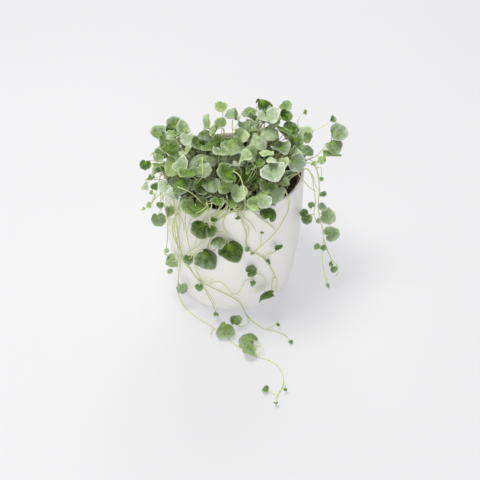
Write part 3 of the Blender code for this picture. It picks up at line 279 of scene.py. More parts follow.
def speckled(tree, size, amount):
    """The mask of a specks node placed in a material."""
    made = add(tree, "Group", node_tree=SPECKS)
    made.inputs["Size"].default_value = size
    made.inputs["Amount"].default_value = amount
    return made.outputs[0]


def bumped(tree, shader, height, depth, under=None):
    """Raises the surface by height times depth metres, over another bump's normal."""
    made = add(tree, "Bump", {"Height": height, "Distance": depth, "Strength": 1.0})
    if under is not None:
        tree.links.new(under, made.inputs["Normal"])
    tree.links.new(made.outputs[0], shader.inputs["Normal"])
    return made.outputs[0]


def coloured(tree, shader, colour):
    """Makes a node's output the shader's base colour."""
    tree.links.new(colour, shader.inputs["Base Color"])


def white_glaze():
    """Satin white glaze: slightly warmer where it runs thin, with faint pinholes and a wavy skin."""
    made, tree, shader = finish("white_glaze", (0.87, 0.86, 0.84), 0.36, Coat_Weight=0.2, Coat_Roughness=0.16)
    thin = mottled(tree, 0.045, 1.8)
    body = blended(tree, thin, (0.930, 0.922, 0.900), (0.915, 0.895, 0.862))
    pits = speckled(tree, 0.0035, 0.05)
    coloured(tree, shader, blended(tree, maths(tree, "MULTIPLY", pits, 0.25), body, (0.50, 0.45, 0.38)))
    rough = maths(tree, "MULTIPLY_ADD", mottled(tree, 0.012), 0.14, 0.29)
    tree.links.new(rough, shader.inputs["Roughness"])
    waves = bumped(tree, shader, mottled(tree, 0.022, 1.5), 0.00022)
    bumped(tree, shader, pits, -0.00006, waves)
    return made


def bare_clay():
    """Unglazed foot ring, dry and a little sandy."""
    made, tree, shader = finish("bare_clay", (0.72, 0.66, 0.58), 0.85)
    grain = mottled(tree, 0.0008, 3.0)
    coloured(tree, shader, blended(tree, grain, (0.66, 0.60, 0.52), (0.78, 0.73, 0.66)))
    bumped(tree, shader, grain, 0.00005)
    return made


foot = float(pot_radius(0)) - POT_FOOT_ROUND
turn = np.radians(np.linspace(6, 90, 12))
rounding = POT_FOOT_ROUND * (1 - np.cos(turn))
outer = np.linspace(POT_FOOT_ROUND * 1.15, POT_HEIGHT - POT_WALL / 2, 70)
inner = np.linspace(POT_HEIGHT - POT_WALL / 2, POT_FLOOR + POT_CORNER, 40)[1:]
cover_profile = np.vstack([
    [(0, POT_RECESS), (foot - FOOT_RING, POT_RECESS), (foot - FOOT_RING + FOOT_BEVEL, FOOT_BEVEL / 2)],
    [(foot - FOOT_RING + 2 * FOOT_BEVEL, 0), (foot, 0)],
    np.stack([pot_radius(rounding) - POT_FOOT_ROUND * (1 - np.sin(turn)), rounding], -1),
    np.stack([pot_radius(outer), outer], -1),
    arc((POT_RIM_RADIUS - POT_WALL / 2, POT_HEIGHT - POT_WALL / 2), POT_WALL / 2, 12, 180, 14),
    np.stack([pot_radius(inner) - POT_WALL, inner], -1),
    [(float(pot_radius(POT_FLOOR)) - POT_WALL - POT_CORNER, POT_FLOOR), (0, POT_FLOOR)],
])
points, faces = spun(cover_profile, POT_SIDES)
# The bare foot ring: faces low down and away from the middle
low_down = (points[faces[:, :3]][:, :, 2] < BARE_HEIGHT).all(1)
far_out = np.hypot(*points[faces[:, 0]][:, :2].T) > 0.5 * foot
cover = mesh_from("glazed_cover_pot", points, faces, [white_glaze(), bare_clay()], low_down & far_out)
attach(cover, "root")
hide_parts("cover_pot")

# Grow pot
# The thin taupe pot, moulded of recycled plastic, that the plant was raised in. It stands in the cover pot,
# its rim is rolled out, and four holes in its base let water through.

GROW_TOP = 0.1375
GROW_WALL = 0.0011
GROW_GAP = 0.0008
GROW_BASE_RADIUS = 0.0470
GROW_STANDS_AT = POT_FLOOR + 0.0003
GROW_FLOOR = 0.0016
GROW_HOLES = 4
GROW_HOLE_RADIUS = 0.0045
GROW_HOLE_RING = 0.030
GROW_SIDES = 144
GROW_FOOT_INSET = 0.002
GROW_FOOT_ROUND = 0.0006
GROW_LIP_RADIUS = 0.00055
# Depths under the rim at which the outer wall ends, the rim's collar starts, and the inner wall starts
GROW_WALL_END, GROW_COLLAR, GROW_INNER_START = 0.009, 0.008, 0.010
GROW_CORNER = 0.0035
GROW_INNER_END = 0.001
DRILL_SIDES = 24
# How far a drill reaches past the base, below and above it
DRILL_BELOW, DRILL_ABOVE = 0.0002, 0.002


def grow_radius(z):
    """Outer radius of the grow pot: a straight taper from its base up to the cover pot's inner wall."""
    top = POT_RIM_RADIUS - POT_WALL - GROW_GAP
    share = (np.asarray(z) - GROW_STANDS_AT) / (GROW_TOP - GROW_STANDS_AT)
    return GROW_BASE_RADIUS + (top - GROW_BASE_RADIUS) * share


def taupe_plastic():
    """Moulded plastic with a fine matt grain, scuffed paler in streaks and dusted with dry soil."""
    made, tree, shader = finish("moulded_taupe", (0.33, 0.27, 0.25), 0.5)
    scuffs = mottled(tree, 0.006, 2.4)
    body = blended(tree, scuffs, (0.30, 0.245, 0.225), (0.38, 0.32, 0.30))
    dust = speckled(tree, 0.0016, 0.30)
    coloured(tree, shader, blended(tree, maths(tree, "MULTIPLY", dust, 0.7), body, (0.10, 0.07, 0.05)))
    tree.links.new(maths(tree, "MULTIPLY_ADD", scuffs, 0.22, 0.42), shader.inputs["Roughness"])
    bumped(tree, shader, mottled(tree, 0.0009, 2.0), 0.00004)
    return made


def drilled(target, places, radius, low, high):
    """Cuts upright round holes through a piece."""
    for x, y in places:
        rod, walls = spun([(0, low), (radius, low), (radius, high), (0, high)], DRILL_SIDES)
        cutter = mesh_from("drill", rod + np.array([x, y, 0]), walls, [])
        cut = target.modifiers.new("hole", "BOOLEAN")
        cut.operation = "DIFFERENCE"
        cut.object = cutter
        cut.solver = "EXACT"
        bpy.context.view_layer.update()
        solved = target.evaluated_get(bpy.context.evaluated_depsgraph_get())
        target.data = bpy.data.meshes.new_from_object(solved)
        target.modifiers.clear()
        bpy.data.objects.remove(cutter)


low, high = GROW_STANDS_AT, GROW_TOP
lip = float(grow_radius(high))
outer = np.linspace(low + GROW_FOOT_INSET, high - GROW_WALL_END, 30)
inner = np.linspace(high - GROW_INNER_START, low + GROW_FLOOR + GROW_INNER_END, 30)
grow_profile = np.vstack([
    [(0, low), (GROW_BASE_RADIUS - GROW_FOOT_INSET, low)],
    [(GROW_BASE_RADIUS - GROW_FOOT_ROUND, low + GROW_FOOT_ROUND)],
    np.stack([grow_radius(outer), outer], -1),
    [(lip, high - GROW_COLLAR)],
    arc((lip - GROW_LIP_RADIUS, high - GROW_LIP_RADIUS), GROW_LIP_RADIUS, 0, 160, 8),
    np.stack([grow_radius(inner) - GROW_WALL, inner], -1),
    [(GROW_BASE_RADIUS - GROW_CORNER, low + GROW_FLOOR), (0, low + GROW_FLOOR)],
])
grow = mesh_from("plastic_grow_pot", *spun(grow_profile, GROW_SIDES), [taupe_plastic()])
ring = 2 * math.pi * np.arange(GROW_HOLES) / GROW_HOLES
hole_places = GROW_HOLE_RING * np.stack([np.cos(ring), np.sin(ring)], -1)
drilled(grow, hole_places, GROW_HOLE_RADIUS, low - DRILL_BELOW, low + GROW_FLOOR + DRILL_ABOVE)
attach(grow, "root")
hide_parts("grow_pot")

# Soil
# Dark peat with crumbs of bark and a few grains of pale perlite. It is poured loose into the grow pot, and
# has settled to a finger's width under its rim.

SOIL_TOP = 0.1255
SOIL_GAP = 0.0004
SOIL_BUMP = 0.0011
SOIL_SIDES = 144
SOIL_RINGS = 46
SOIL_CORNER = 0.0045
SOIL_SIDE_START = 0.003
SOIL_SIDE_END = 0.0008
SOIL_EDGE_INSET = 0.0004
# Width along the soil's edge over which its relief fades out
EDGE_FADE = 0.004
# Lumps of the crumbled soil: how high in millimetres and how wide, coarse to fine, on a lattice of this many
LUMPS = ((1.3, 0.0042), (0.9, 0.0021), (0.5, 0.0011))
LATTICE = 64
# Grains on the soil, with the sizes between which they are drawn
CRUMBS, CRUMB_SIZES = 1100, (0.0009, 0.0034)
PERLITE, PERLITE_SIZES = 34, (0.0010, 0.0024)
# Angles of a grain's rings from its top, and how many points each ring has
GRAIN_RINGS = np.radians([12, 50, 90, 130, 168])
GRAIN_SIDES = 8
GRAIN_INSET = 0.003
GRAIN_RISE = 0.25
SOIL_SEED = 5


def soil_height(x, y):
    """Top of the soil: a few low waves."""
    waves = np.sin(190 * x + 1) * np.cos(170 * y) + np.sin(310 * y + 140 * x)
    return SOIL_TOP + SOIL_BUMP * waves / 2


def soil_radius(height):
    """Outer radius of the soil, just inside the grow pot's wall."""
    return float(grow_radius(height)) - GROW_WALL - SOIL_GAP


def lumps(across, along, size, seed):
    """Lumpy relief from -0.5 to 0.5: random heights on a square lattice of the given size, with a smooth step
    between them."""
    heights = np.random.RandomState(seed).rand(LATTICE, LATTICE)
    u, v = across / size, along / size
    i, j = np.floor(u).astype(int), np.floor(v).astype(int)
    s, t = (3 - 2 * (u - i)) * (u - i) ** 2, (3 - 2 * (v - j)) * (v - j) ** 2
    i, j, right, up = i % LATTICE, j % LATTICE, (i + 1) % LATTICE, (j + 1) % LATTICE
    near = heights[i, j] * (1 - s) + heights[right, j] * s
    far = heights[i, up] * (1 - s) + heights[right, up] * s
    return near * (1 - t) + far * t - 0.5


def crumbled(x, y):
    """Height of the crumbled soil: its low waves with lumps of three sizes on them."""
    rough = sum(height * lumps(x, y, size, seed) for seed, (height, size) in enumerate(LUMPS, 1))
    return soil_height(x, y) + rough * MM


def dark_peat():
    """Damp peat: nearly black, brown where it has dried, with a rough crumbly skin."""
    made, tree, shader = finish("dark_peat", (0.03, 0.022, 0.017), 0.92, Specular_IOR_Level=0.3)
    dry = mottled(tree, 0.004, 3.0)
    body = blended(tree, dry, (0.016, 0.012, 0.009), (0.085, 0.062, 0.046))
    coloured(tree, shader, blended(tree, speckled(tree, 0.0017, 0.12), body, (0.30, 0.26, 0.21)))
    bumped(tree, shader, mottled(tree, 0.0012, 3.0), 0.0004)
    return made


def bark_crumb():
    """Bark and peat crumbs, from nearly black to dull brown."""
    made, tree, shader = finish("bark_crumb", (0.05, 0.035, 0.025), 0.9)
    dry = mottled(tree, 0.003, 4.0)
    coloured(tree, shader, blended(tree, dry, (0.020, 0.014, 0.010), (0.13, 0.088, 0.058)))
    bumped(tree, shader, mottled(tree, 0.0007, 3.0), 0.00015)
    return made


def pale_perlite():
    """Perlite: off-white, porous and dull."""
    made, tree, shader = finish("pale_perlite", (0.62, 0.60, 0.55), 0.9)
    pores = mottled(tree, 0.0009, 3.0)
    coloured(tree, shader, blended(tree, pores, (0.50, 0.47, 0.41), (0.74, 0.73, 0.70)))
    bumped(tree, shader, mottled(tree, 0.0005, 3.0), 0.00008)
    return made


edge = soil_radius(SOIL_TOP)
low = GROW_STANDS_AT + GROW_FLOOR + SOIL_GAP
side = np.linspace(low + SOIL_SIDE_START, SOIL_TOP - SOIL_SIDE_END, 20)
shares = np.linspace(1, 0, SOIL_RINGS)
soil_profile = np.vstack([
    [(0, low), (GROW_BASE_RADIUS - SOIL_CORNER, low)],
    np.stack([grow_radius(side) - GROW_WALL - SOIL_GAP, side], -1),
    np.stack([(edge - SOIL_EDGE_INSET) * shares, 0 * shares + SOIL_TOP], -1),
])
points, faces = spun(soil_profile, SOIL_SIDES)
on_top = points[:, 2] > SOIL_TOP - 0.1 * MM
rise = crumbled(points[:, 0], points[:, 1]) - SOIL_TOP
out = np.hypot(points[:, 0], points[:, 1])
points[:, 2] += on_top * rise * np.clip((edge - out) / EDGE_FADE, 0, 1)
bed = mesh_from("peat_bed", points, faces, [dark_peat()])
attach(bed, "root")
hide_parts("soil")


def grains(count, low_size, high_size, draw):
    """Angular grains on the soil, each a ball of five rings of eight whose radius varies from point to point,
    as arrays over (grain, ring, turn). Gives points and faces."""
    away = (edge - GRAIN_INSET) * np.sqrt(draw.uniform(0, 1, count))
    round_it = draw.uniform(0, 2 * math.pi, count)
    x, y = away * np.cos(round_it), away * np.sin(round_it)
    size = draw.uniform(low_size, high_size, count) / 2
    across, up = np.sin(GRAIN_RINGS)[:, None], np.cos(GRAIN_RINGS)[:, None]
    turn = np.arange(GRAIN_SIDES) * 2 * math.pi / GRAIN_SIDES
    reach = size[:, None, None] * draw.uniform(0.72, 1.15, (count, len(GRAIN_RINGS), GRAIN_SIDES))
    ball = np.stack([
        reach * across * np.cos(turn),
        reach * across * np.sin(turn) * draw.uniform(0.6, 1, (count, 1, 1)),
        reach * up * draw.uniform(0.5, 0.9, (count, 1, 1)) + 0 * turn,
    ], -1)
    spin = draw.uniform(0, math.pi, (count, 1, 1))
    flat_x = ball[..., 0] * np.cos(spin) - ball[..., 1] * np.sin(spin)
    flat_y = ball[..., 0] * np.sin(spin) + ball[..., 1] * np.cos(spin)
    middle = np.stack([x, y, crumbled(x, y) + size * GRAIN_RISE], -1)
    ball = np.stack([flat_x, flat_y, ball[..., 2]], -1) + middle[:, None, None]
    here = np.arange(len(GRAIN_RINGS) * GRAIN_SIDES).reshape(-1, GRAIN_SIDES)
    after = np.roll(here, -1, axis=1)
    walls = np.stack([here[:-1], here[1:], after[1:], after[:-1]], -1).reshape(-1, 4)
    caps = [here[0, [0, 2, 4, 6]], here[0, [0, 1, 2, 2]], here[0, [2, 3, 4, 4]], here[0, [4, 5, 6, 6]]]
    caps += [here[0, [6, 7, 0, 0]], here[4, [6, 4, 2, 0]], here[4, [2, 1, 0, 0]], here[4, [4, 3, 2, 2]]]
    caps += [here[4, [6, 5, 4, 4]], here[4, [0, 7, 6, 6]]]
    whole = np.vstack([walls, caps])
    return ball.reshape(-1, 3), (np.arange(count)[:, None, None] * here.size + whole).reshape(-1, 4)


draw = np.random.RandomState(SOIL_SEED)
bark_points, bark_faces = grains(CRUMBS, *CRUMB_SIZES, draw)
white_points, white_faces = grains(PERLITE, *PERLITE_SIZES, draw)
crumbs = mesh_from(
    "soil_crumbs",
    np.vstack([bark_points, white_points]),
    np.vstack([bark_faces, white_faces + len(bark_points)]),
    [bark_crumb(), pale_perlite()],
    np.repeat([0, 1], [len(bark_faces), len(white_faces)]),
)
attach(crumbs, "root")

# How the plant grows
# Trailing stems that root in the soil and hang over the rim, and tufts of long-stalked leaves over the pot.
# They are placed by where the reference view shows them, and the rest grow towards the light.

BLADE_THICKNESS = 0.0010
# Share of a blade's half width over which the fold along its midrib is rounded
CREASE = 0.12
PETIOLE_RADIUS = 0.00046
RUNNER_RADIUS = 0.00095
RUNNER_RISE = 0.012
ROOT_DEPTH = 0.010
SHOOT_RADIUS = 0.0010
SHOOT_HEIGHT = 0.0035
SHOOT_LENGTH = 0.024
# Ways in which a shoot may lean from straight outwards, in degrees, the first of them that is clear taken
SHOOT_LEANS = (90, -90, 60, -60, 120, -120, 150, -150, 180, 30)
FINE_SPACING = 0.0006
FIRST_BUD = 0.004
BUD_SPACING = 0.0018
BUDS_TRIED = 6
TUFTS = 13
TUFT_RING = 0.048
BACK_RUNNERS = {"runner_back_1": (math.radians(72), 0.092), "runner_back_2": (math.radians(128), 0.110)}
GOLDEN_ANGLE = math.radians(137.5)
LEAST_PETIOLE = 0.004
SHORT_PETIOLE = 0.007
PETIOLE_SUNK = 0.0022
PETIOLE_ROOT = 0.0030
STEM_SPACING = 0.0095
CLEARANCE = 0.0002
RIM_CLEARANCE = 0.0007
FLOOR_CLEARANCE = 0.0004
NUDGE = 0.0012
NUDGES = 24
LIGHT_RAYS = 1500
MOST_LEAVES = 220
SEED = 11

# Mound of leaves over the pot, as a dome
DOME_CENTRE = np.array([0.0, 0.0, 0.130])
DOME_RADII = np.array([0.084, 0.084, 0.074])


def unit(v):
    """v at length 1."""
    return v / max(np.linalg.norm(v), 1e-12)


def sight(across, down):
    """The unit direction from the eye in which the view's frame shows (across, down)."""
    sideways = VIEW_RIGHT * (across - VIEW_CENTRE) / VIEW_FOCAL
    return unit(sideways - VIEW_UP * (down - VIEW_CENTRE) / VIEW_FOCAL - TOWARDS_VIEWER)


def hung(across, down, depth):
    """The point seen there that lies depth millimetres behind the pot's axis."""
    ray = sight(across, down)
    return VIEW_EYE + ray * (depth * MM - VIEW_EYE[1]) / ray[1]


def floor(across, down, lift=1.2):
    """The point seen there that lies lift millimetres above the floor."""
    ray = sight(across, down)
    return VIEW_EYE + ray * (lift * MM - VIEW_EYE[2]) / ray[2]


def wall(across, down, proud):
    """The point seen there that stands proud millimetres off the cover pot's wall, on the viewer's side."""
    steps = np.linspace(0.85 * VIEW_DISTANCE, VIEW_DISTANCE * 1.03, 900)
    points = VIEW_EYE + steps[:, None] * sight(across, down)
    off = np.hypot(points[:, 0], points[:, 1]) - pot_radius(points[:, 2]) - proud * MM
    inside = np.flatnonzero(off < 0)
    return points[inside[0] if len(inside) else off.argmin()]


def dome(across, down, share):
    """The point seen there on the mound's dome scaled by share, or the sight line's nearest point to it."""
    ray = sight(across, down)
    start, way = (VIEW_EYE - DOME_CENTRE) / DOME_RADII, ray / DOME_RADII
    nearest = -(start @ way) / (way @ way)
    miss = start + nearest * way
    back = share**2 - miss @ miss
    return VIEW_EYE + ray * (nearest - math.sqrt(max(back, 0) / (way @ way)))


# Top of the mound as the view shows it against the background: (across, down)
SKYLINE = [
    (140, 175), (150, 132), (165, 124), (178, 120), (188, 127), (192, 137), (201, 136), (211, 131),
    (226, 133), (241, 131), (249, 116), (256, 104), (290, 106), (298, 132), (312, 168),
]
# Bottom of the mound as the view shows it, which leaves the soil open at the right: (across, down)
SKIRT = [(140, 200), (160, 208), (240, 212), (279, 208), (286, 164), (312, 158)]
# How far inside those lines a leaf's middle stays, in the view: from the sides, the top and the bottom
INSET_SIDE, INSET_TOP, INSET_BOTTOM = 6, 8, 5


def seen_in_mound(place):
    """Whether a leaf there stays between the mound's top and bottom in the view."""
    offset = place - VIEW_EYE
    depth = -offset @ TOWARDS_VIEWER
    across = VIEW_CENTRE + VIEW_FOCAL * (offset @ VIEW_RIGHT) / depth
    down = VIEW_CENTRE - VIEW_FOCAL * (offset @ VIEW_UP) / depth
    top, bottom = np.interp(across, *np.transpose(SKYLINE)), np.interp(across, *np.transpose(SKIRT))
    left, right = SKYLINE[0][0], SKYLINE[-1][0]
    return top + INSET_TOP < down < bottom - INSET_BOTTOM and left + INSET_SIDE < across < right - INSET_SIDE


def blade_radius(angle, width, lobe):
    """Distance from the notch to the margin of a kidney-shaped blade, at an angle from its midrib."""
    return 0.476 * width * (1 + np.cos(angle)) ** lobe


def blade_points(leaf, angle, share):
    """Points of the blade's middle surface: polar about the notch with an uneven outline, cupped by the
    square of the distance, folded along the midrib in a rounded crease, drooping to the tip, and waved along
    the margin."""
    reach = blade_radius(angle, leaf["width"], leaf["lobe"]) * share
    reach = reach * (1 + leaf["uneven"] * np.sin(2.5 * angle + leaf["phase"]))
    across, along = reach * np.sin(angle), reach * np.cos(angle)
    half = leaf["width"] / 2
    crease = CREASE * half
    height = leaf["cup"] * reach**2 / half + leaf["fold"] * (np.hypot(across, crease) - crease)
    height = height - leaf["droop"] * np.maximum(along, 0) ** 2 / half
    height = height + leaf["wave"] * half * share**2 * np.sin(3 * angle + leaf["phase"])
    side = np.cross(leaf["tip"], leaf["normal"])
    place = np.multiply.outer(across, side) + np.multiply.outer(along, leaf["tip"])
    return leaf["base"] + place + np.multiply.outer(height, leaf["normal"])


# Directions of the margin's points from the notch, in degrees, by the least width of a blade that has them
BLADE_ANGLES = {
    0.0215: np.radians([-150, -112, -70, -27, 27, 70, 112, 150]),
    0.0085: np.radians([-147, -92, -33, 33, 92, 147]),
    0.0: np.radians([-138, -50, 50, 138]),
}


def margin(leaf):
    """Points of the blade's margin from one side of the notch to the other."""
    angles = next(angles for least, angles in BLADE_ANGLES.items() if leaf["width"] >= least)
    return blade_points(leaf, angles, np.ones(len(angles)))


def blade_shell(leaf, thickness):
    """Closed plate with the blade's outline: a fan from the notch above and below, and a margin between."""
    outline = [leaf["base"], *margin(leaf)]
    lift = leaf["normal"] * thickness / 2
    count = len(outline)
    points = [p + lift for p in outline] + [p - lift for p in outline]
    faces = [(0, i + 1, i) for i in range(1, count - 1)]
    faces += [(count, count + i, count + i + 1) for i in range(1, count - 1)]
    faces += [(i, (i + 1) % count, count + (i + 1) % count, count + i) for i in range(count)]
    return points, faces


def stem_shell(path, radius_start, radius_end, sides):
    """Closed tapered tube along a path, each ring square to it and turned least from the one before."""
    path = np.asarray(path)
    ahead = np.gradient(path, axis=0)
    ahead /= np.linalg.norm(ahead, axis=1)[:, None]
    return tube_shell(path, ahead, np.linspace(radius_start, radius_end, len(path)), sides)


def petiole_shell(path, radius, sides):
    """Closed tube along a petiole, with all its rings square to its chord, so that its sides are flat."""
    chord = unit(path[-1] - path[0])
    return tube_shell(path, [chord] * len(path), [radius] * len(path), sides)


def tube_shell(path, ahead, radii, sides):
    """Closed tube with a ring round each point of a path, square to the direction ahead."""
    across = unit(np.cross(ahead[0], UP + 0.01 * VIEW_RIGHT))
    points, faces = [], []
    for centre, forward, radius in zip(path, ahead, radii):
        across = unit(across - forward * (across @ forward))
        over = np.cross(forward, across)
        for k in range(sides):
            turn = 2 * math.pi * k / sides
            points.append(centre + radius * (math.cos(turn) * across + math.sin(turn) * over))
    for ring in range(len(path) - 1):
        for k in range(sides):
            a, b = ring * sides + k, ring * sides + (k + 1) % sides
            faces.append((a, b, b + sides, a + sides))
    last = (len(path) - 1) * sides
    faces.append(tuple(reversed(range(sides))))
    faces.append(tuple(range(last, last + sides)))
    return points, faces


def smooth_path(points, spacing):
    """Catmull-Rom curve through the points, at about the given spacing."""
    points = np.asarray(points, float)
    padded = np.vstack([2 * points[0] - points[1], points, 2 * points[-1] - points[-2]])
    path = []
    for a, b, c, d in zip(padded, padded[1:], padded[2:], padded[3:]):
        steps = max(1, round(np.linalg.norm(c - b) / spacing))
        for t in np.arange(steps) / steps:
            bend = (2 * a - 5 * b + 4 * c - d) * t**2 + (3 * b - a - 3 * c + d) * t**3
            path.append(0.5 * (2 * b + (c - a) * t + bend))
    path = np.array([*path, points[-1]])
    path[:, 2] = np.maximum(path[:, 2], RUNNER_RADIUS + FLOOR_CLEARANCE)
    return path


def petiole_path(start, leave, leaf):
    """Cubic curve from a stem to the blade: it leaves along leave, comes to the notch from below and behind,
    and ends sunk a little way in the blade."""
    reach = np.linalg.norm(leaf["base"] - start)
    steps = 1 if reach < SHORT_PETIOLE else 2
    arrive = unit(0.55 * leaf["tip"] + 0.83 * leaf["normal"])
    second = start + leave * reach * 0.38
    third = leaf["base"] - arrive * reach * 0.30
    around = margin(leaf)
    middle = around[len(around) // 2 - 1 : len(around) // 2 + 1].mean(0) - leaf["base"]
    end = leaf["base"] + unit(middle) * min(PETIOLE_SUNK, 0.3 * np.linalg.norm(middle))
    t = np.linspace(0, 1, steps + 1)[:, None]
    return start * (1 - t) ** 3 + 3 * second * t * (1 - t) ** 2 + 3 * third * t**2 * (1 - t) + end * t**3


def make_leaf(centre, width, spin, nod, turn, own, draw):
    """A leaf whose blade's middle is at centre, with its angles in degrees. Spin is its tip's direction in
    the view, 0 to the right and 90 up. Nod tips its face from the viewer upwards, where 51 lies level, and
    turn tips it to the right. Own lists the forms that this leaf has in place of drawn ones."""
    nod, turn, spin = (math.radians(a) for a in (nod, turn, spin))
    normal = math.cos(nod) * TOWARDS_VIEWER + math.sin(nod) * VIEW_UP
    normal = unit(math.cos(turn) * normal + math.sin(turn) * VIEW_RIGHT)
    towards = math.cos(spin) * VIEW_RIGHT + math.sin(spin) * VIEW_UP
    tip = unit(towards - normal * (towards @ normal))
    leaf = shaped_leaf(centre, width, tip, normal, draw)
    for form in own:
        leaf.update(form)
    return leaf


def shaped_leaf(centre, width, tip, normal, draw):
    """A leaf with its own lobe, cup, fold, droop, wave and uneven outline, drawn at random within what the
    plant shows."""
    return {
        "base": centre - tip * width * 0.30,
        "width": width,
        "tip": tip,
        "normal": normal,
        "lobe": draw.uniform(0.20, 0.58),
        "cup": draw.uniform(-0.30, 0.60),
        "fold": draw.uniform(-0.30, 0.60),
        "droop": draw.uniform(-0.10, 0.50),
        "wave": draw.uniform(0.05, 0.20),
        "uneven": draw.uniform(0.0, 0.08),
        "phase": draw.uniform(0.0, 2 * math.pi),
    }


def moved(leaf, by):
    """The same leaf shifted by a vector."""
    return {**leaf, "base": leaf["base"] + by}


class Plant:
    """What has grown so far, and a slightly fatter outline of each piece that others keep out of."""

    def __init__(self, draw):
        self.draw = draw
        self.outlines = []
        self.middles = np.zeros((0, 3))
        self.sizes = np.zeros(0)
        self.leaves = []
        self.stems = []

    def clear(self, shell, node="", may_cross=()):
        """Whether the shell keeps out of the pot, the soil, the floor and every piece, except the kinds of
        piece of its own node that it may cross."""
        points = np.array(shell[0])
        radius, height = np.hypot(points[:, 0], points[:, 1]), points[:, 2]
        if height.min() < FLOOR_CLEARANCE:
            return False
        over_soil = radius < POT_RIM_RADIUS - POT_WALL
        if (height[over_soil] < SOIL_TOP + SOIL_BUMP + RIM_CLEARANCE).any():
            return False
        below_rim = height < POT_HEIGHT + RIM_CLEARANCE
        outside = radius > pot_radius(height) + RIM_CLEARANCE
        inside = radius < grow_radius(height) - GROW_WALL - RIM_CLEARANCE
        if (below_rim & ~outside & ~inside).any():
            return False
        if (below_rim & outside).any() and (below_rim & inside).any():
            return False
        middle = points.mean(0)
        size = np.linalg.norm(points - middle, axis=1).max()
        tree = None
        near = np.linalg.norm(self.middles - middle, axis=1) < self.sizes + size
        for number in np.flatnonzero(near):
            kind, other_node, other_tree = self.outlines[number]
            if node == other_node and kind in may_cross:
                continue
            if tree is None:
                tree = BVHTree.FromPolygons([tuple(p) for p in points], shell[1])
            if other_tree.overlap(tree):
                return False
        return True

    def keep(self, shell, node, kind):
        """Notes the shell's outline."""
        points = np.array(shell[0])
        middle = points.mean(0)
        tree = BVHTree.FromPolygons([tuple(p) for p in points], shell[1])
        self.outlines.append((kind, node, tree))
        self.middles = np.vstack([self.middles, middle])
        self.sizes = np.append(self.sizes, np.linalg.norm(points - middle, axis=1).max())

    def add_stem(self, node, path, start_radius, end_radius):
        """A stem's route is given, so it is kept as it is."""
        self.stems.append((node, path, start_radius, end_radius))
        fat = start_radius + CLEARANCE
        for first in range(0, len(path) - 1, 4):
            stretch = path[first : first + 5]
            self.keep(stem_shell(stretch, fat, fat, 4), node, "stem")

    def blade_clear(self, leaf):
        """Whether the leaf's blade is clear of everything."""
        return self.clear(blade_shell(leaf, BLADE_THICKNESS + 2 * CLEARANCE))

    def add_leaf(self, node, leaf, start, leave):
        """Adds a leaf whose blade is clear if its petiole is clear too, and says whether it did. Petioles of
        one node may cross where they leave their stem."""
        path = petiole_path(start, leave, leaf)
        steps = np.linspace(0, len(path) - 1, 6 * len(path))
        fine = np.stack([np.interp(steps, range(len(path)), path[:, axis]) for axis in range(3)], -1)
        whole = petiole_shell(fine, PETIOLE_RADIUS + CLEARANCE, 4)
        if not self.clear(whole, node, ("stem", "petiole")):
            return False
        free = fine[np.linalg.norm(fine - start, axis=1) > PETIOLE_ROOT]
        if len(free) > 1:
            tip = petiole_shell(free, PETIOLE_RADIUS + CLEARANCE, 4)
            if not self.clear(tip, node, ("stem",)):
                return False
            self.keep(tip, node, "petiole")
        self.keep(blade_shell(leaf, BLADE_THICKNESS + 2 * CLEARANCE), node, "blade")
        self.leaves.append((node, leaf, start, leave))
        return True

    def lit(self, start, way, reach):
        """Whether a ray passes every blade on its way."""
        across = np.cross(self.middles - start, way)
        near = np.linalg.norm(across, axis=1) < self.sizes
        for number in np.flatnonzero(near):
            kind, _, tree = self.outlines[number]
            if kind == "blade" and tree.ray_cast(tuple(start), tuple(way), reach)[0] is not None:
                return False
        return True


# Forms of the leaves that show best: a kidney with its sides raised, a ridge with both halves dropped, a
# bowl, a dome, a margin that goes up and down, a long tip, and a bent leaf with a hollow in one side
KIDNEY = {"fold": 0.25, "cup": 0.40, "droop": 0.15, "lobe": 0.16, "wave": 0.05}
RIDGED = {"fold": -1.0, "cup": 0.05, "droop": 0.1, "lobe": 0.75}
CUPPED = {"fold": 0.0, "cup": 0.55, "droop": 0.0}
DOMED = {"fold": -0.35, "cup": -0.40, "droop": 0.1, "lobe": 0.5}
WAVED = {"fold": -0.45, "cup": -0.15, "wave": 0.3, "lobe": 0.35}
POINTED = {"fold": 0.35, "cup": 0.1, "droop": 0.1, "lobe": 0.8}
BENT = {"fold": -0.65, "cup": -0.1, "droop": 0.1, "lobe": 0.9, "wave": 0.15, "uneven": 0.18, "phase": 3.2}


# Runners, each with the place of its root in the soil (degrees round the pot, millimetres from its axis), its
# main stem after the root, its side stems, and its leaves (middle, width in millimetres, spin, nod, turn and
# perhaps a form of its own)

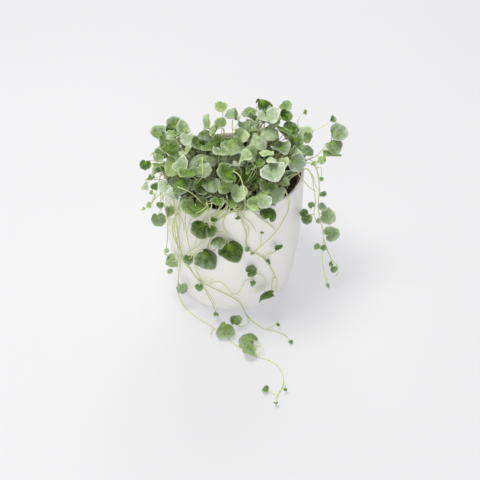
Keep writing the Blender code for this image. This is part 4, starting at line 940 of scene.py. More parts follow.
def runners():
    """The runners that the reference view shows, by name."""
    return {
        "runner_front_long": {
            "root": (-141, 52),
            "stem": [
                hung(176, 190, -44), hung(174, 199, -47), hung(175, 215, -47), hung(178, 235, -47),
                hung(181, 255, -47), hung(179, 270, -47), hung(178, 283, -47.5), floor(179, 296, 7),
                floor(183, 304, 2), floor(191, 313), floor(201, 320), floor(214, 328), floor(228, 339),
                floor(240, 348), floor(254, 356), floor(268, 359.5), floor(277, 365), floor(283, 376),
                floor(282, 387), floor(277, 396), floor(276, 405),
            ],
            "side": [
                [floor(283, 380), floor(285, 385), floor(286, 391, 2)],
                [floor(277, 397), floor(272, 392, 2), floor(268, 390, 3)],
                [floor(217, 330), floor(212, 331, 2), floor(210, 336, 3)],
                [floor(256, 357), floor(260, 353, 3), floor(264, 350, 5), floor(259, 346, 9)],
            ],
            "leaf": [
                (hung(182, 290, -52), 13, -80, 5, -10),
                (floor(222.5, 329, 11), 18, -115, 25, -20, RIDGED),
                (floor(247.5, 336, 13), 20, 135, 34, 5, DOMED),
                (floor(247, 347, 5), 16, -165, 55, 0, WAVED), (floor(264, 389, 4), 8, 170, 40, 0),
                (floor(276, 404, 2.5), 4.5, -90, 50, 0), (floor(286, 390, 3), 4.5, -80, 40, 30),
            ],
        },
        "runner_front_fork": {
            "root": (-126, 51),
            "stem": [
                hung(184, 199, -56), hung(180, 208, -60), hung(173, 222, -60), hung(173, 233, -60),
                hung(178, 246, -60), wall(184, 258, 7), wall(190, 268, 4), wall(195, 276, 3),
                wall(201, 281, 3), wall(209, 286, 3), wall(219, 291, 3), wall(230, 296, 3),
                wall(240, 303, 4), floor(246, 314, 3), floor(252, 321), floor(259, 326),
                floor(266, 329.5), floor(276, 331.5), floor(286, 336), floor(291, 343),
            ],
            "side": [
                [
                    wall(200, 280, 3), wall(205, 290, 7), wall(211, 301, 8), floor(216, 312, 8),
                    floor(218, 320, 6),
                ],
                [
                    wall(208, 285, 3), wall(214, 282, 7), wall(221, 282, 8), wall(227, 288, 8),
                    wall(233, 294, 8), wall(239, 292, 7), wall(243, 285, 6), wall(247, 280, 6),
                    wall(252, 279, 7),
                ],
                [floor(269, 329.5), floor(274, 325, 3), floor(278, 321, 6)],
                [floor(247, 315, 3), floor(249, 321, 4), floor(246, 325, 5), floor(240, 327, 6)],
            ],
            "leaf": [
                (wall(188, 261, 10), 12, -95, 10, 15), (wall(199, 289, 8), 9, -95, 5, 0),
                (floor(235, 319, 12), 13, 75, 20, 15),
                (wall(253, 271, 9), 13, 20, 10, 0), (wall(246, 264, 8), 11, 120, 15, -20),
                (wall(253, 284, 6), 7, -80, 20, 30), (floor(291, 342, 2.5), 5, -60, 50, 0),
                (floor(278, 325, 6), 4.5, -90, 20, 40), (floor(215, 314, 4), 7, -140, 60, 0),
            ],
        },
        "runner_front_leafy": {
            "root": (-108, 53),
            "stem": [
                hung(207, 202, -73), hung(208, 210, -80), hung(210, 220, -82), wall(213, 230, 7),
                wall(212, 240, 6), wall(207, 248, 7), wall(199, 250, 9), wall(191, 256, 9),
            ],
            "side": [
                [wall(212, 232, 7), wall(217, 232, 9), wall(223, 234, 9), wall(228, 240, 9)],
                [wall(195, 253, 9), wall(194, 262, 12), wall(199, 270, 10)],
            ],
            "leaf": [
                (hung(196, 214.5, -82), 28, -84, 34, -4, KIDNEY),
                (wall(203, 229.5, 17), 18, -109, 4, 25, RIDGED),
                (wall(211, 233, 11), 12, -75, 10, 20), (wall(218, 238.5, 14), 14, -90, 70, 0, DOMED),
                (wall(231.5, 250, 12), 19.5, -62, 0, 15, BENT),
                (wall(207, 257, 14), 19, -50, 12, 22, BENT), (hung(217, 204, -84), 13, -100, 30, 0),
            ],
        },
        "runner_front_tangle": {
            "root": (-98, 49),
            "stem": [
                hung(227, 196, -68), hung(228, 203, -73), hung(225, 208.5, -77.5), wall(219, 213, 4),
                wall(214, 218, 4),
            ],
            "side": [[hung(228, 204, -74), hung(231, 206, -79), hung(236, 210, -81), wall(238, 216, 7)]],
            "leaf": [(wall(214, 221, 6), 7, -100, 20, 0), (wall(238, 219, 8), 5, -60, 20, 0)],
        },
        "runner_front_middle": {
            "root": (-88, 54),
            "stem": [
                hung(231, 203, -75), hung(234, 209.5, -77), wall(240, 217, 2.5), wall(244, 226, 2.5),
                wall(246.5, 235, 2.5), wall(246, 244, 2.5), wall(250, 251, 2.2), wall(257, 254, 2.2),
                wall(263, 258, 2.2), wall(268, 264, 2.2), wall(273, 272, 2.2), wall(277, 282, 2.2),
                wall(276, 292, 2.2),
            ],
            "side": [[wall(262, 257, 2.2), wall(268, 254, 3), wall(274, 252, 4)]],
            "leaf": [
                (wall(247, 249, 5), 6, 170, 20, 0), (wall(279, 250, 5), 8.5, 10, 55, 0),
                (wall(266, 293, 5), 18, 185, 66, 0), (wall(270, 262, 6), 8, -50, 40, 50),
                (hung(244, 205, -74), 12, -100, 30, 0), (hung(233, 204, -78), 12, -70, 38, 0),
            ],
        },
        "runner_front_right": {
            "root": (-49, 54),
            "stem": [
                hung(284, 189, -50), hung(287, 194, -53), wall(289, 203, 3), wall(286.5, 214, 5.5),
                wall(280, 226, 7), wall(270, 238, 7.5), wall(261, 246, 8), wall(253, 253, 8),
            ],
            "side": [[wall(259, 247, 8), wall(261, 240, 9), wall(262, 232, 9)]],
            "leaf": [(wall(252, 254, 9), 4.5, -120, 30, 0), (wall(262, 232, 9.5), 4, 90, 30, 0)],
        },
        "runner_front_hung_leaf": {
            "root": (-68, 54),
            "stem": [
                hung(250, 204, -69), hung(253, 211, -72), wall(259, 217, 3), wall(266, 222, 3),
                wall(272, 226.5, 2.6), wall(276, 230, 2.6),
            ],
            "side": [],
            "leaf": [
                (wall(271, 212, 11), 17, 65, 8, 20, DOMED), (hung(250, 203, -76), 13, -90, 20, 0),
                (hung(259, 206, -72), 12, -80, 34, 0),
            ],
        },
        "runner_left_spray": {
            "root": (172, 50),
            "stem": [
                hung(172, 165, -5), hung(166, 167, -8), hung(161, 174, -11), hung(158, 186, -13),
                hung(155, 196, -15), hung(152, 204, -16),
            ],
            "side": [
                [hung(155, 196, -15), hung(152.5, 192, -17), hung(153, 188, -18)],
                [hung(159, 184, -13), hung(161, 199, -15), hung(161, 208, -18), hung(159, 212, -20)],
            ],
            "leaf": [
                (hung(144, 186, -15), 9.5, 190, 30, -20), (hung(155, 186, -20), 8.5, 60, 20, 20),
                (hung(148, 206, -18), 7, 200, 20, 0), (hung(143, 209, -18), 4.5, 190, 40, 0),
                (hung(160.5, 206, -25), 8, -95, 5, -5), (hung(157.5, 220, -22), 15, -85, 6, -8),
                (hung(150, 193, -19), 5, 180, 40, 0),
            ],
        },
        "runner_left_drop": {
            "root": (-160, 50),
            "stem": [
                hung(172, 176, -24), hung(166, 179, -26), hung(162, 190, -29), hung(165, 208, -31),
                hung(167.5, 226, -32), hung(167, 243, -32), hung(165, 254, -33),
            ],
            "side": [[hung(166, 250, -32), hung(172, 258, -34), hung(178, 262, -38)]],
            "leaf": [
                (hung(171, 263, -33), 17, -62, 0, -48), (hung(170, 213, -37), 13, -75, 10, 40),
                (hung(170, 272, -34), 6.5, -90, 0, 0), (hung(166, 251, -36), 6, 140, 30, 0),
            ],
        },
        "runner_right_long": {
            "root": (-6, 54),
            "stem": [
                hung(304, 164, -4), hung(311, 163, -3), hung(316, 168, -3), hung(319, 181, -4),
                hung(319, 195, -6), hung(318, 206, -8), hung(320, 219, -10), hung(323, 232, -12),
                hung(323, 245, -14), hung(322, 256, -16), hung(324, 270, -19), hung(327, 284, -22),
            ],
            "side": [
                [
                    hung(323, 238, -13), hung(327, 249, -15), hung(332, 260, -17), hung(337, 265, -18),
                    hung(338, 272, -19), hung(335, 277, -20),
                ],
                [hung(315, 166, -3), hung(321, 168, -6), hung(321.5, 178, -8)],
            ],
            "leaf": [
                (hung(324, 195.5, -10), 8.5, 0, 45, 0), (hung(323, 206, -11), 10, 60, 15, 10),
                (hung(328, 217, -15), 17, -15, 8, 10), (hung(334, 233, -13), 17.5, 20, 5, 0),
                (hung(317, 246, -16), 7, 190, 30, 0), (hung(324, 249, -18), 7.5, -60, 10, 0),
                (hung(332, 264, -20), 7, -40, 30, 30), (hung(334, 270, -20), 8, -80, 5, 0),
                (hung(328, 285, -22), 5, -40, 40, 0), (hung(321.5, 179, -9), 4.5, -90, 20, 0),
            ],
        },
        "runner_right_short": {
            "root": (-14, 55),
            "stem": [
                hung(303, 170, -14), hung(308, 169, -16), hung(312, 177, -17), hung(314, 190, -18),
                hung(315.5, 203, -19), hung(314, 214, -20), hung(317, 222, -21),
            ],
            "side": [[hung(314.5, 211, -20), hung(309, 215, -21), hung(305, 216, -22)]],
            "leaf": [
                (hung(310.5, 204, -21), 8, 120, 15, 0), (hung(303, 214, -24), 10, 160, 20, 0),
                (hung(307, 221, -24), 12, -80, 10, 0), (hung(319, 221, -24), 6, -40, 20, 0),
            ],
        },
        "runner_right_upper": {
            "root": (14, 52),
            "stem": [
                hung(302, 163, 8), hung(309, 159, 8), hung(316, 156, 8), hung(322, 150, 8), hung(328, 143, 8),
            ],
            "side": [
                [hung(316, 156, 8), hung(321, 156.5, 5), hung(325, 156, 4)],
                [hung(309, 159, 8), hung(315, 162, 5), hung(319, 162, 4)],
            ],
            "leaf": [
                (hung(338, 133, 8), 17, 2, 20, 0, POINTED),
                (hung(333, 147, 5), 16, -62, 20, 10, POINTED),
                (hung(331, 156, 3), 18, -6, 66, 0, POINTED), (hung(323, 161, 3), 10, -20, 25, 0),
                (hung(315, 164, 1), 7, -30, 30, 0),
            ],
        },
        "runner_right_back": {
            "root": (38, 46),
            "stem": [
                hung(290, 158, 26), hung(293, 149, 26), hung(297, 141, 26), hung(301, 134.5, 26),
                hung(306, 133, 25), hung(313, 130.5, 24), hung(321, 127, 23), hung(328, 123, 22),
            ],
            "side": [
                [hung(301, 134.5, 26), hung(298.5, 128, 28), hung(298, 120, 29), hung(301, 115, 30)],
                [hung(301, 134.5, 26), hung(296, 134, 30), hung(291, 134, 32)],
            ],
            "leaf": [
                (hung(304, 131, 20), 16, 100, 48, 0), (hung(308, 139, 19), 13, -88, 5, 38),
                (hung(304.5, 111, 30), 7, 55, 10, 60), (hung(332, 119, 22), 8, 60, 30, 40),
                (hung(287, 132.5, 30), 11.5, 175, 12, 0), (hung(306, 150, 12), 15, 95, 12, 0),
            ],
        },
    }


# Leaves of the mound that the reference view shows: where it shows the blade's middle (across, down), the
# share of the dome at which it stands, its width in millimetres, its spin, nod and turn, and perhaps a form
MOUND_LEAVES = [
    (160, 132.5, 1.0, 16, 55, 25, -30, POINTED), (175, 123.5, 0.99, 14, 75, 14, -20, POINTED),
    (183.5, 126, 0.94, 15, 60, 15, 38), (175, 138.5, 1.02, 19, -90, 52, 0, CUPPED),
    (187, 141, 1.02, 15, -100, 20, 8),
    (164, 138, 1.0, 13, -90, 15, -50), (163, 147, 1.0, 12, -80, 44, 0), (157, 156, 1.0, 14, -100, 12, -10),
    (171, 153, 1.03, 20, -100, 38, 0), (145, 166, 1.0, 12, -95, 8, 0), (154, 173, 1.0, 14, 180, 72, 0),
    (170, 168, 1.04, 20, -58, 26, -16), (183, 166, 1.03, 17, -70, 40, 12), (180, 158, 0.98, 14, -90, 58, 0),
    (203, 154, 1.03, 22, 95, 34, 0, DOMED), (208.5, 123, 0.95, 15, 88, 5, -58, POINTED),
    (204.5, 131.5, 0.98, 13, -90, 66, 0, DOMED), (195, 144, 1.0, 14, -100, 36, 0),
    (208, 144, 0.98, 16, -80, 44, 10), (188, 153, 1.0, 14, -90, 34, 0), (192, 167, 1.0, 14, -120, 30, -20),
    (221, 106.5, 1.0, 11, -105, 12, 0, POINTED), (234, 113.5, 1.0, 12, 85, 10, 20, RIDGED),
    (219.5, 122, 0.98, 12, 120, 20, -10, CUPPED), (238, 121, 0.97, 12, 70, 20, 52),
    (250.5, 107.5, 1.0, 19, 92, 30, 0, DOMED), (247.5, 127, 0.96, 13, -88, 5, -50, POINTED),
    (266.5, 99.5, 0.98, 21, 20, 50, 0, DOMED), (269, 122, 1.03, 24, -78, 38, 4, KIDNEY),
    (270, 130.5, 0.98, 17, -85, 40, 0, DOMED), (258, 140, 1.0, 17, -92, 44, 0, DOMED),
    (234, 145, 1.0, 25, -85, 50, 0, WAVED), (222, 155, 1.0, 19, -80, 48, 0),
    (253, 155, 1.04, 16, -60, 26, 0), (243, 160, 1.02, 18, -95, 48, 0), (259, 165, 1.02, 12, -90, 10, 0),
    (235, 168, 1.02, 18, -90, 58, 0), (249, 171, 1.04, 13, -90, 62, 0),
    (224, 176, 1.04, 21, 190, 24, 0, CUPPED), (285.5, 106.5, 1.0, 12, -42, 24, 0, POINTED),
    (282, 150, 0.98, 20, -88, 44, 0), (295, 153, 0.97, 12, -60, 30, 0), (297, 163, 1.0, 19, -58, 22, 0),
    (280, 167, 1.02, 19, -62, 30, 10), (275, 160, 1.02, 14, -90, 62, 0),
    (273, 178, 1.04, 24, -80, 20, 0, CUPPED), (262, 196, 1.06, 18, 200, 24, 0, DOMED),
    (277, 192, 1.0, 16, -70, 26, 0), (265, 205, 1.02, 15, -80, 40, 0), (238, 194, 1.0, 18, -90, 10, 0),
    (248, 178, 0.98, 19, -80, 30, 0), (215, 196, 0.96, 20, -82, 38, 0),
    (190, 179, 1.05, 23, -88, 40, 0, CUPPED), (173, 195, 1.02, 14, -100, 50, 0),
    (163, 188, 1.04, 14, 200, 46, -40), (206, 170, 0.97, 16, -90, 40, 0), (212, 184, 0.98, 17, -100, 32, 0),
    (228, 188, 0.97, 15, -70, 28, 0), (292, 176, 0.93, 12, -40, 34, 0), (286, 183, 0.97, 9, -60, 30, 0),
    (216, 133, 0.94, 15, -90, 50, 0), (258, 122, 0.92, 15, 80, 20, -30), (241, 136, 0.93, 14, 90, 20, 20),
    (150, 181, 1.02, 11, 190, 50, -20), (199, 188, 1.0, 15, -110, 40, 0), (225, 203, 1.0, 16, -80, 28, 0),
    (251, 203, 1.04, 13, -95, 15, 30),
]


def grow_runner(plant, node, runner):
    """Lays a runner's stems, then its leaves, each leaf on the nearest stem and nudged towards the viewer
    until it is clear."""
    around, out = runner["root"]
    around, out = math.radians(around), out * MM
    root = np.array([out * math.cos(around), out * math.sin(around), SOIL_TOP])
    outward = np.array([math.cos(around), math.sin(around), 0])
    rise = [root - UP * ROOT_DEPTH, root + UP * RUNNER_RISE / 4, root + UP * RUNNER_RISE + outward * 2 * MM]
    main = smooth_path([*rise, *runner["stem"]], STEM_SPACING)
    plant.add_stem(node, main, RUNNER_RADIUS * 1.15, RUNNER_RADIUS * 0.75)
    stems = [main[5:]]
    for side in runner["side"]:
        path = smooth_path(side, STEM_SPACING)
        path[0] = main[np.linalg.norm(main - path[0], axis=1).argmin()]
        plant.add_stem(node, path, RUNNER_RADIUS * 0.85, RUNNER_RADIUS * 0.6)
        stems.append(path)
    along = np.vstack(stems)
    for centre, width, spin, nod, turn, *own in runner["leaf"]:
        leaf = make_leaf(centre, width * MM, spin, nod, turn, own, plant.draw)
        for step in range(NUDGES):
            tried = moved(leaf, unit(VIEW_EYE - centre) * step * NUDGE)
            away = np.linalg.norm(along - tried["base"], axis=1)
            start = along[np.where(away > LEAST_PETIOLE, away, np.inf).argmin()]
            leave = unit(tried["base"] - start + 0.3 * leaf["tip"])
            if plant.blade_clear(tried) and plant.add_leaf(node, tried, start, leave):
                break


def grow_back_runner(plant, node, around, length):
    """A runner out of the reference view: over the rim, then down the wall with a slight sway, a leaf on each
    side in turn."""
    draw = plant.draw
    sway = draw.uniform(0, 2 * math.pi)

    def beside(radius, height, turn):
        return np.array([radius * math.cos(turn), radius * math.sin(turn), height])

    points = [beside(0.052, SOIL_TOP + rise, around) for rise in (-ROOT_DEPTH, RUNNER_RISE / 4, RUNNER_RISE)]
    points += [beside(0.061, POT_HEIGHT + 0.006, around), beside(0.070, POT_HEIGHT + 0.006, around)]
    points.append(beside(0.076, POT_HEIGHT - 0.004, around))
    for drop in np.arange(0.016, length, 0.012):
        height = POT_HEIGHT - drop
        aside = 0.1 * math.sin(drop * 45 + sway)
        points.append(beside(float(pot_radius(height)) + 0.005, height, around + aside))
    path = smooth_path(points, STEM_SPACING)
    plant.add_stem(node, path, RUNNER_RADIUS * 1.1, RUNNER_RADIUS * 0.7)
    for step in range(5, len(path)):
        start = path[step]
        out = unit(start * np.array([1, 1, 0]))
        side = np.cross(UP, out) * (1 if step % 2 else -1)
        for push in (0, 2, 4, 7, 10):
            width = draw.uniform(9, 17) * MM
            normal = unit(out * 0.9 + UP * draw.uniform(0.1, 0.7) + draw.normal(0, 0.2, 3))
            tip = unit(np.cross(np.cross(normal, side - UP * 0.8 + draw.normal(0, 0.2, 3)), normal))
            centre = start + out * (0.007 + push * MM) + side * 0.008 + tip * width * 0.3
            leaf = shaped_leaf(centre, width, tip, normal, draw)
            if plant.blade_clear(leaf) and plant.add_leaf(node, leaf, start, unit(out + 0.6 * side)):
                break


def grow_shoots(plant):
    """The tufts' own stems: each is rooted on a sunflower spiral over the soil and creeps a short way over
    it. Gives the buds along them, by node."""
    buds = []
    for number in range(TUFTS):
        node = f"tuft_{number + 1:02d}"
        radius, around = TUFT_RING * math.sqrt((number + 0.5) / TUFTS), number * GOLDEN_ANGLE
        root = np.array([radius * math.cos(around), radius * math.sin(around), SOIL_TOP])
        for lean in SHOOT_LEANS:
            heading = around + math.radians(lean)
            way = np.array([math.cos(heading), math.sin(heading), 0])
            level = root + UP * SHOOT_HEIGHT
            points = [root - UP * ROOT_DEPTH, root, level + way * 3 * MM]
            points += [level + way * SHOOT_LENGTH / 2, level + way * SHOOT_LENGTH + UP * 3 * MM]
            path = smooth_path(points, STEM_SPACING)
            creeping = stem_shell(path[3:], SHOOT_RADIUS + CLEARANCE, SHOOT_RADIUS + CLEARANCE, 4)
            if plant.clear(creeping):
                plant.add_stem(node, path, SHOOT_RADIUS * 1.2, SHOOT_RADIUS * 0.8)
                fine = smooth_path(points, FINE_SPACING)[-round(SHOOT_LENGTH / FINE_SPACING) :]
                run = np.linspace(0, SHOOT_LENGTH, len(fine))
                for bud in np.arange(FIRST_BUD, SHOOT_LENGTH, BUD_SPACING):
                    buds.append((node, np.array([np.interp(bud, run, fine[:, axis]) for axis in range(3)])))
                break
    return buds


# How a petiole may leave its bud: how much it climbs and how much it bends to the side
PETIOLE_BENDS = [(0.9, 0), (1.7, 0), (0.3, 0), (0.9, 0.6), (0.9, -0.6), (2.5, 0.3), (2.5, -0.3)]


def grow_from_bud(plant, buds, leaf, shifts):
    """Tries the leaf at each shift, from each of the nearest buds and bent several ways, and keeps the first
    that is clear. Each bud bears one leaf."""
    for shift in shifts:
        tried = moved(leaf, shift)
        if not plant.blade_clear(tried):
            continue
        foot = tried["base"] * np.array([0.62, 0.62, 0]) + UP * SOIL_TOP
        order = np.linalg.norm([place - foot for _, place in buds], axis=1).argsort()[:BUDS_TRIED]
        for number in order:
            node, start = buds[number]
            outward = unit(tried["base"] - start)
            aside = unit(np.cross(outward, UP))
            for climb, bend in PETIOLE_BENDS:
                if plant.add_leaf(node, tried, start, unit(outward + UP * climb + aside * bend)):
                    buds.pop(number)
                    return True
    return False


# How far the spin, nod and turn of a leaf of the mound stray, in degrees, if it has no form of its own
MOUND_SPREAD = np.array([40, 18, 24])
# Shifts of a leaf along the line of sight, in millimetres, in the order in which they are tried
MOUND_NUDGES = [0, 1.5, -1.5, 3, -3, 5, -5, 7, -7, 9, -9, 12, -12, 15, -15]


def grow_mound(plant, buds):
    """The leaves that the view shows, each nudged along the line of sight where it must be, then others where
    light would get down to the soil: a leaf grows on the way of each ray that no blade stops."""
    for across, down, share, width, spin, nod, turn, *own in MOUND_LEAVES:
        centre = dome(across, down, share)
        if not own:
            spin, nod, turn = np.array([spin, nod, turn]) + plant.draw.normal(0, 1, 3) * MOUND_SPREAD
        leaf = make_leaf(centre, width * MM, spin, nod, turn, own, plant.draw)
        grow_from_bud(plant, buds, leaf, [unit(VIEW_EYE - centre) * nudge * MM for nudge in MOUND_NUDGES])
    draw = plant.draw
    for number in range(LIGHT_RAYS):
        if len(plant.leaves) >= MOST_LEAVES or not buds:
            break
        around = number * GOLDEN_ANGLE
        towards_light = unit(np.array([math.cos(around), math.sin(around), draw.uniform(0.5, 2.5)]))
        if number % 6 == 0:
            towards_light = unit(TOWARDS_VIEWER + draw.normal(0, 0.08, 3))
        spread = 0.88 * math.sqrt(draw.uniform(0, 1))
        away = draw.uniform(0, 2 * math.pi)
        spot = DOME_CENTRE + DOME_RADII * np.array([math.cos(away), math.sin(away), 0]) * spread
        spot[2] += draw.uniform(0.004, 0.018)
        start, way = (spot - DOME_CENTRE) / DOME_RADII, towards_light / DOME_RADII
        half = (start @ way) / (way @ way)
        out = -half + math.sqrt(half * half + (1 - start @ start) / (way @ way))
        if not plant.lit(spot + towards_light * (out + 0.02), -towards_light, out + 0.02):
            continue
        shifts = np.linspace(out - 0.002, 0.15 * out, 14)[:, None] * towards_light
        shifts = [shift for shift in shifts if seen_in_mound(spot + shift)]
        normal = unit(towards_light * 0.5 + UP * 0.5 + draw.normal(0, 0.34, 3))
        tip = unit(np.cross(np.cross(normal, towards_light + draw.normal(0, 0.9, 3) - UP * 0.5), normal))
        leaf = shaped_leaf(spot, draw.uniform(12, 20) * MM, tip, normal, draw)
        grow_from_bud(plant, buds, leaf, shifts)


def grow_plant():
    """The whole plant, in the order in which its pieces take their room."""
    plant = Plant(np.random.RandomState(SEED))
    for node, runner in runners().items():
        grow_runner(plant, node, runner)
    for node, (around, length) in BACK_RUNNERS.items():
        grow_back_runner(plant, node, around, length)
    grow_mound(plant, grow_shoots(plant))
    return plant


# Leaves and stems
# Kidney-shaped blades on thin stalks, under a felt of silky silver hairs that is thickest at the margin.
# Nine ribs fan out from the notch. The trailing stems are pale yellow-green, with a swelling where each leaf
# grows.

# Blade: its ribs, how far it reaches to each side of the midrib, and its rows of points from notch to margin
RIB_STEP = math.radians(36)
RIB_RELIEF = 0.00022
BLADE_SWEEP = math.radians(171)
BLADE_ROWS = np.array([0.06, 0.22, 0.40, 0.58, 0.74, 0.87, 0.955, 1.0])
LEAF_THICKNESS = 0.00055
MARGIN_CURL = 0.0005
# Width of a blade that relief and curl are given for, as they go with its width, and the widths under which a
# blade gets thinner and has fewer points
GIVEN_WIDTH = 0.02
THINNER_WIDTH = 0.012
SMALL_LEAF = 0.0095
# Unevenness, as shares of the half width or of the reach, and its waves as a factor of the angle
RUFFLE, RUFFLE_WAVES = 0.09, 5.3
SCALLOP, SCALLOP_WAVES = 0.025, 9.3
SADDLE = 0.14
TIP_SPREAD = 0.42
# Hairs, with the shares between which their lengths are drawn
HAIR_LENGTH = 0.0007
HAIR_SHARES = (0.5, 1.2)
HAIR_RADIUS = 0.00004
HAIR_SPREAD = 0.35
HAIRS_PER_METRE = 1100
# A margin's hairs: the angle to each side of the midrib, the margin's length in widths of the blade, and the
# share of the reach from which they point outwards
MARGIN_SWEEP = 2.9
MARGIN_LENGTH = 2.6
MARGIN_INSIDE = 0.96
STEM_HAIR_LENGTH = 1.6 * HAIR_LENGTH
STEM_HAIR_SPREAD = 0.0012
# Stems: their share of the thickness of the part's, the last radii of a tip, and the swelling at a leaf
STEM_THINNING = 0.66
STEM_STEP = 0.0016
STEM_ROUND = 9
STEM_TIP = [0.9, 0.75, 0.5]
STEM_TONES = (0.35, 1.0)
SWELLING, SWELLING_LENGTH = 0.45, 0.0013
FINE_STEM_RADII = (0.00075, 0.00045)
# Stalks of leaves, thicker at the foot
STALK_RADIUS = 0.00040
STALK_TAPER = (1.15, 0.85)
STALK_STEP = 0.0022
STALK_ROUND = 7
STALK_TONES = (0.15, 0.8)
# How far past its last ring a stem or stalk closes, in radii, and the least height of all points
END_CAP = 0.6
LEAST_HEIGHT = 0.00015
# How fast the hue of a leaf's silver runs through its range as the leaf's tone rises, which scatters it
HUE_RATE = 7.3
# Width from which a leaf under the front of the rim is a grown one
GROWN_WIDTH = 0.017
# Least and most tone of trailing leaves, which paints light and shade on them: grown ones in front, the
# others in front, and those elsewhere
GROWN_TONES, FRONT_TONES, OTHER_TONES = (0, 0.3), (0.15, 0.6), (0.3, 0.85)
# Painted shade deep in the mound: share of the dome from which the most tone rises, the further share over
# which it does, and the tone below
TONE_START, TONE_SPAN, DEEP_SHADE_TONE = 0.55, 0.35, 0.12
# Young leaves: how many, the rays tried, how far off a ray starts, the share of the dome's width in which
# rays are tried, the most that the square of a leaf's share of the dome may be, and how far up the ray it is
YOUNG_LEAVES = 190
YOUNG_RAYS = 3000
YOUNG_SIGHT = 0.25
YOUNG_SPREAD = 0.80
YOUNG_REACH = 0.9
YOUNG_CLIMBS = (0.012, 0.020, 0.030, 0.042)
YOUNG_WIDTHS = (8, 14)
LOOKS_SEED = 23


def blade_sheet(leaf, angles, shares):
    """Middle surface of a blade as an array over (angle, share): the part's own leaf surface, with the ribs
    sunk and the skin between them raised by a cosine of the angle, and the margin curled down by the share's
    sixth power. A sine of the angle ruffles it by the share's cube, a sine of twice the angle bends it like a
    saddle by its square, a third sine scallops its outline, and a bell curve draws its tip out."""
    angle, share = np.meshgrid(angles, shares, indexing="ij")
    between = (1 - np.cos(2 * math.pi * angle / RIB_STEP)) / 2
    half = leaf["width"] / 2
    relief = RIB_RELIEF * (between - 0.5) * np.sin(math.pi * share) * leaf["width"] / GIVEN_WIDTH
    curl = MARGIN_CURL * share**6 * leaf["width"] / GIVEN_WIDTH
    ruffle = RUFFLE * half * share**3 * np.sin(RUFFLE_WAVES * angle + 2 * leaf["phase"])
    saddle = SADDLE * half * share**2 * np.sin(2 * angle + 3 * leaf["phase"])
    scallop = 1 + SCALLOP * share**3 * np.sin(SCALLOP_WAVES * angle + 5 * leaf["phase"])
    point = 1 + leaf["uneven"] * np.exp(-((angle / TIP_SPREAD) ** 2)) * share**2
    middle = blade_points(leaf, angle, share * scallop * point)
    return middle + (relief - curl + ruffle + saddle)[..., None] * leaf["normal"]


def blade_solid(leaf):
    """A blade with a thickness: its middle surface is raised and lowered along its normals by half of it,
    which falls to nothing at the margin as the root of one less the share's eighth power, so both skins meet
    there. Its marks are the angle in ribs and the share."""
    step = RIB_STEP / 4 if leaf["width"] > SMALL_LEAF else RIB_STEP / 2
    last = round(BLADE_SWEEP / step) * step
    angles = np.linspace(-last, last, round(2 * last / step) + 1)
    shares = BLADE_ROWS
    middle = blade_sheet(leaf, angles, shares)
    normals = np.cross(np.gradient(middle, axis=1), np.gradient(middle, axis=0))
    normals /= np.linalg.norm(normals, axis=-1)[..., None]
    normals *= np.sign(np.median(normals @ leaf["normal"]))
    swell = np.sqrt(np.clip(1 - shares**8, 0, 1)) * np.sqrt(np.clip(1 - (angles / last) ** 16, 0, 1))[:, None]
    swell = swell * LEAF_THICKNESS / 2 * min(1.0, leaf["width"] / THINNER_WIDTH)
    upper, lower = middle + swell[..., None] * normals, middle - swell[..., None] * normals
    count = len(angles) * len(shares)
    top = 1 + np.arange(count).reshape(len(angles), -1)
    under = top + count
    under[0], under[-1], under[:, -1] = top[0], top[-1], top[:, -1]
    up = np.stack([top[:-1, :-1], top[:-1, 1:], top[1:, 1:], top[1:, :-1]], -1).reshape(-1, 4)
    down = np.stack([under[:-1, :-1], under[1:, :-1], under[1:, 1:], under[:-1, 1:]], -1).reshape(-1, 4)
    tip_up = np.stack([0 * top[:-1, 0], top[:-1, 0], top[1:, 0], top[1:, 0]], -1)
    tip_down = np.stack([0 * top[:-1, 0], under[1:, 0], under[:-1, 0], under[:-1, 0]], -1)
    points = np.vstack([leaf["base"], upper.reshape(-1, 3), lower.reshape(-1, 3)])
    angle, share = np.meshgrid(angles, shares, indexing="ij")
    marks = {
        "rib": np.hstack([0, angle.ravel(), angle.ravel()]) / RIB_STEP,
        "share": np.hstack([0, share.ravel(), share.ravel()]),
    }
    return points, np.vstack([up, down, tip_up, tip_down]), marks


def carried(path, radii, sides):
    """A round section carried along a path: ring i is the circle of radius i about point i, square to the
    path and turned least from the ring before, and each end closes on a point a little further on."""
    ahead = np.gradient(path, axis=0)
    ahead /= np.linalg.norm(ahead, axis=1)[:, None]
    across = np.empty_like(path)
    across[0] = unit(np.cross(ahead[0], UP + 0.01 * VIEW_RIGHT))
    for ring in range(1, len(path)):
        across[ring] = unit(across[ring - 1] - ahead[ring] * (across[ring - 1] @ ahead[ring]))
    over = np.cross(ahead, across)
    turn = (2 * math.pi * np.arange(sides) / sides)[:, None]
    rings = across[:, None] * np.cos(turn) + over[:, None] * np.sin(turn)
    rings = path[:, None] + radii[:, None, None] * rings
    ends = [path[0] - ahead[0] * radii[0] * END_CAP, path[-1] + ahead[-1] * radii[-1] * END_CAP]
    points = np.vstack([ends[0], rings.reshape(-1, 3), ends[1]])
    here = 1 + np.arange(len(path) * sides).reshape(-1, sides)
    after = np.roll(here, -1, axis=1)
    walls = np.stack([here[:-1], after[:-1], after[1:], here[1:]], -1).reshape(-1, 4)
    start = np.stack([0 * here[0], after[0], here[0], here[0]], -1)
    end = np.stack([0 * here[0] + len(points) - 1, here[-1], after[-1], after[-1]], -1)
    return points, np.vstack([start, walls, end])


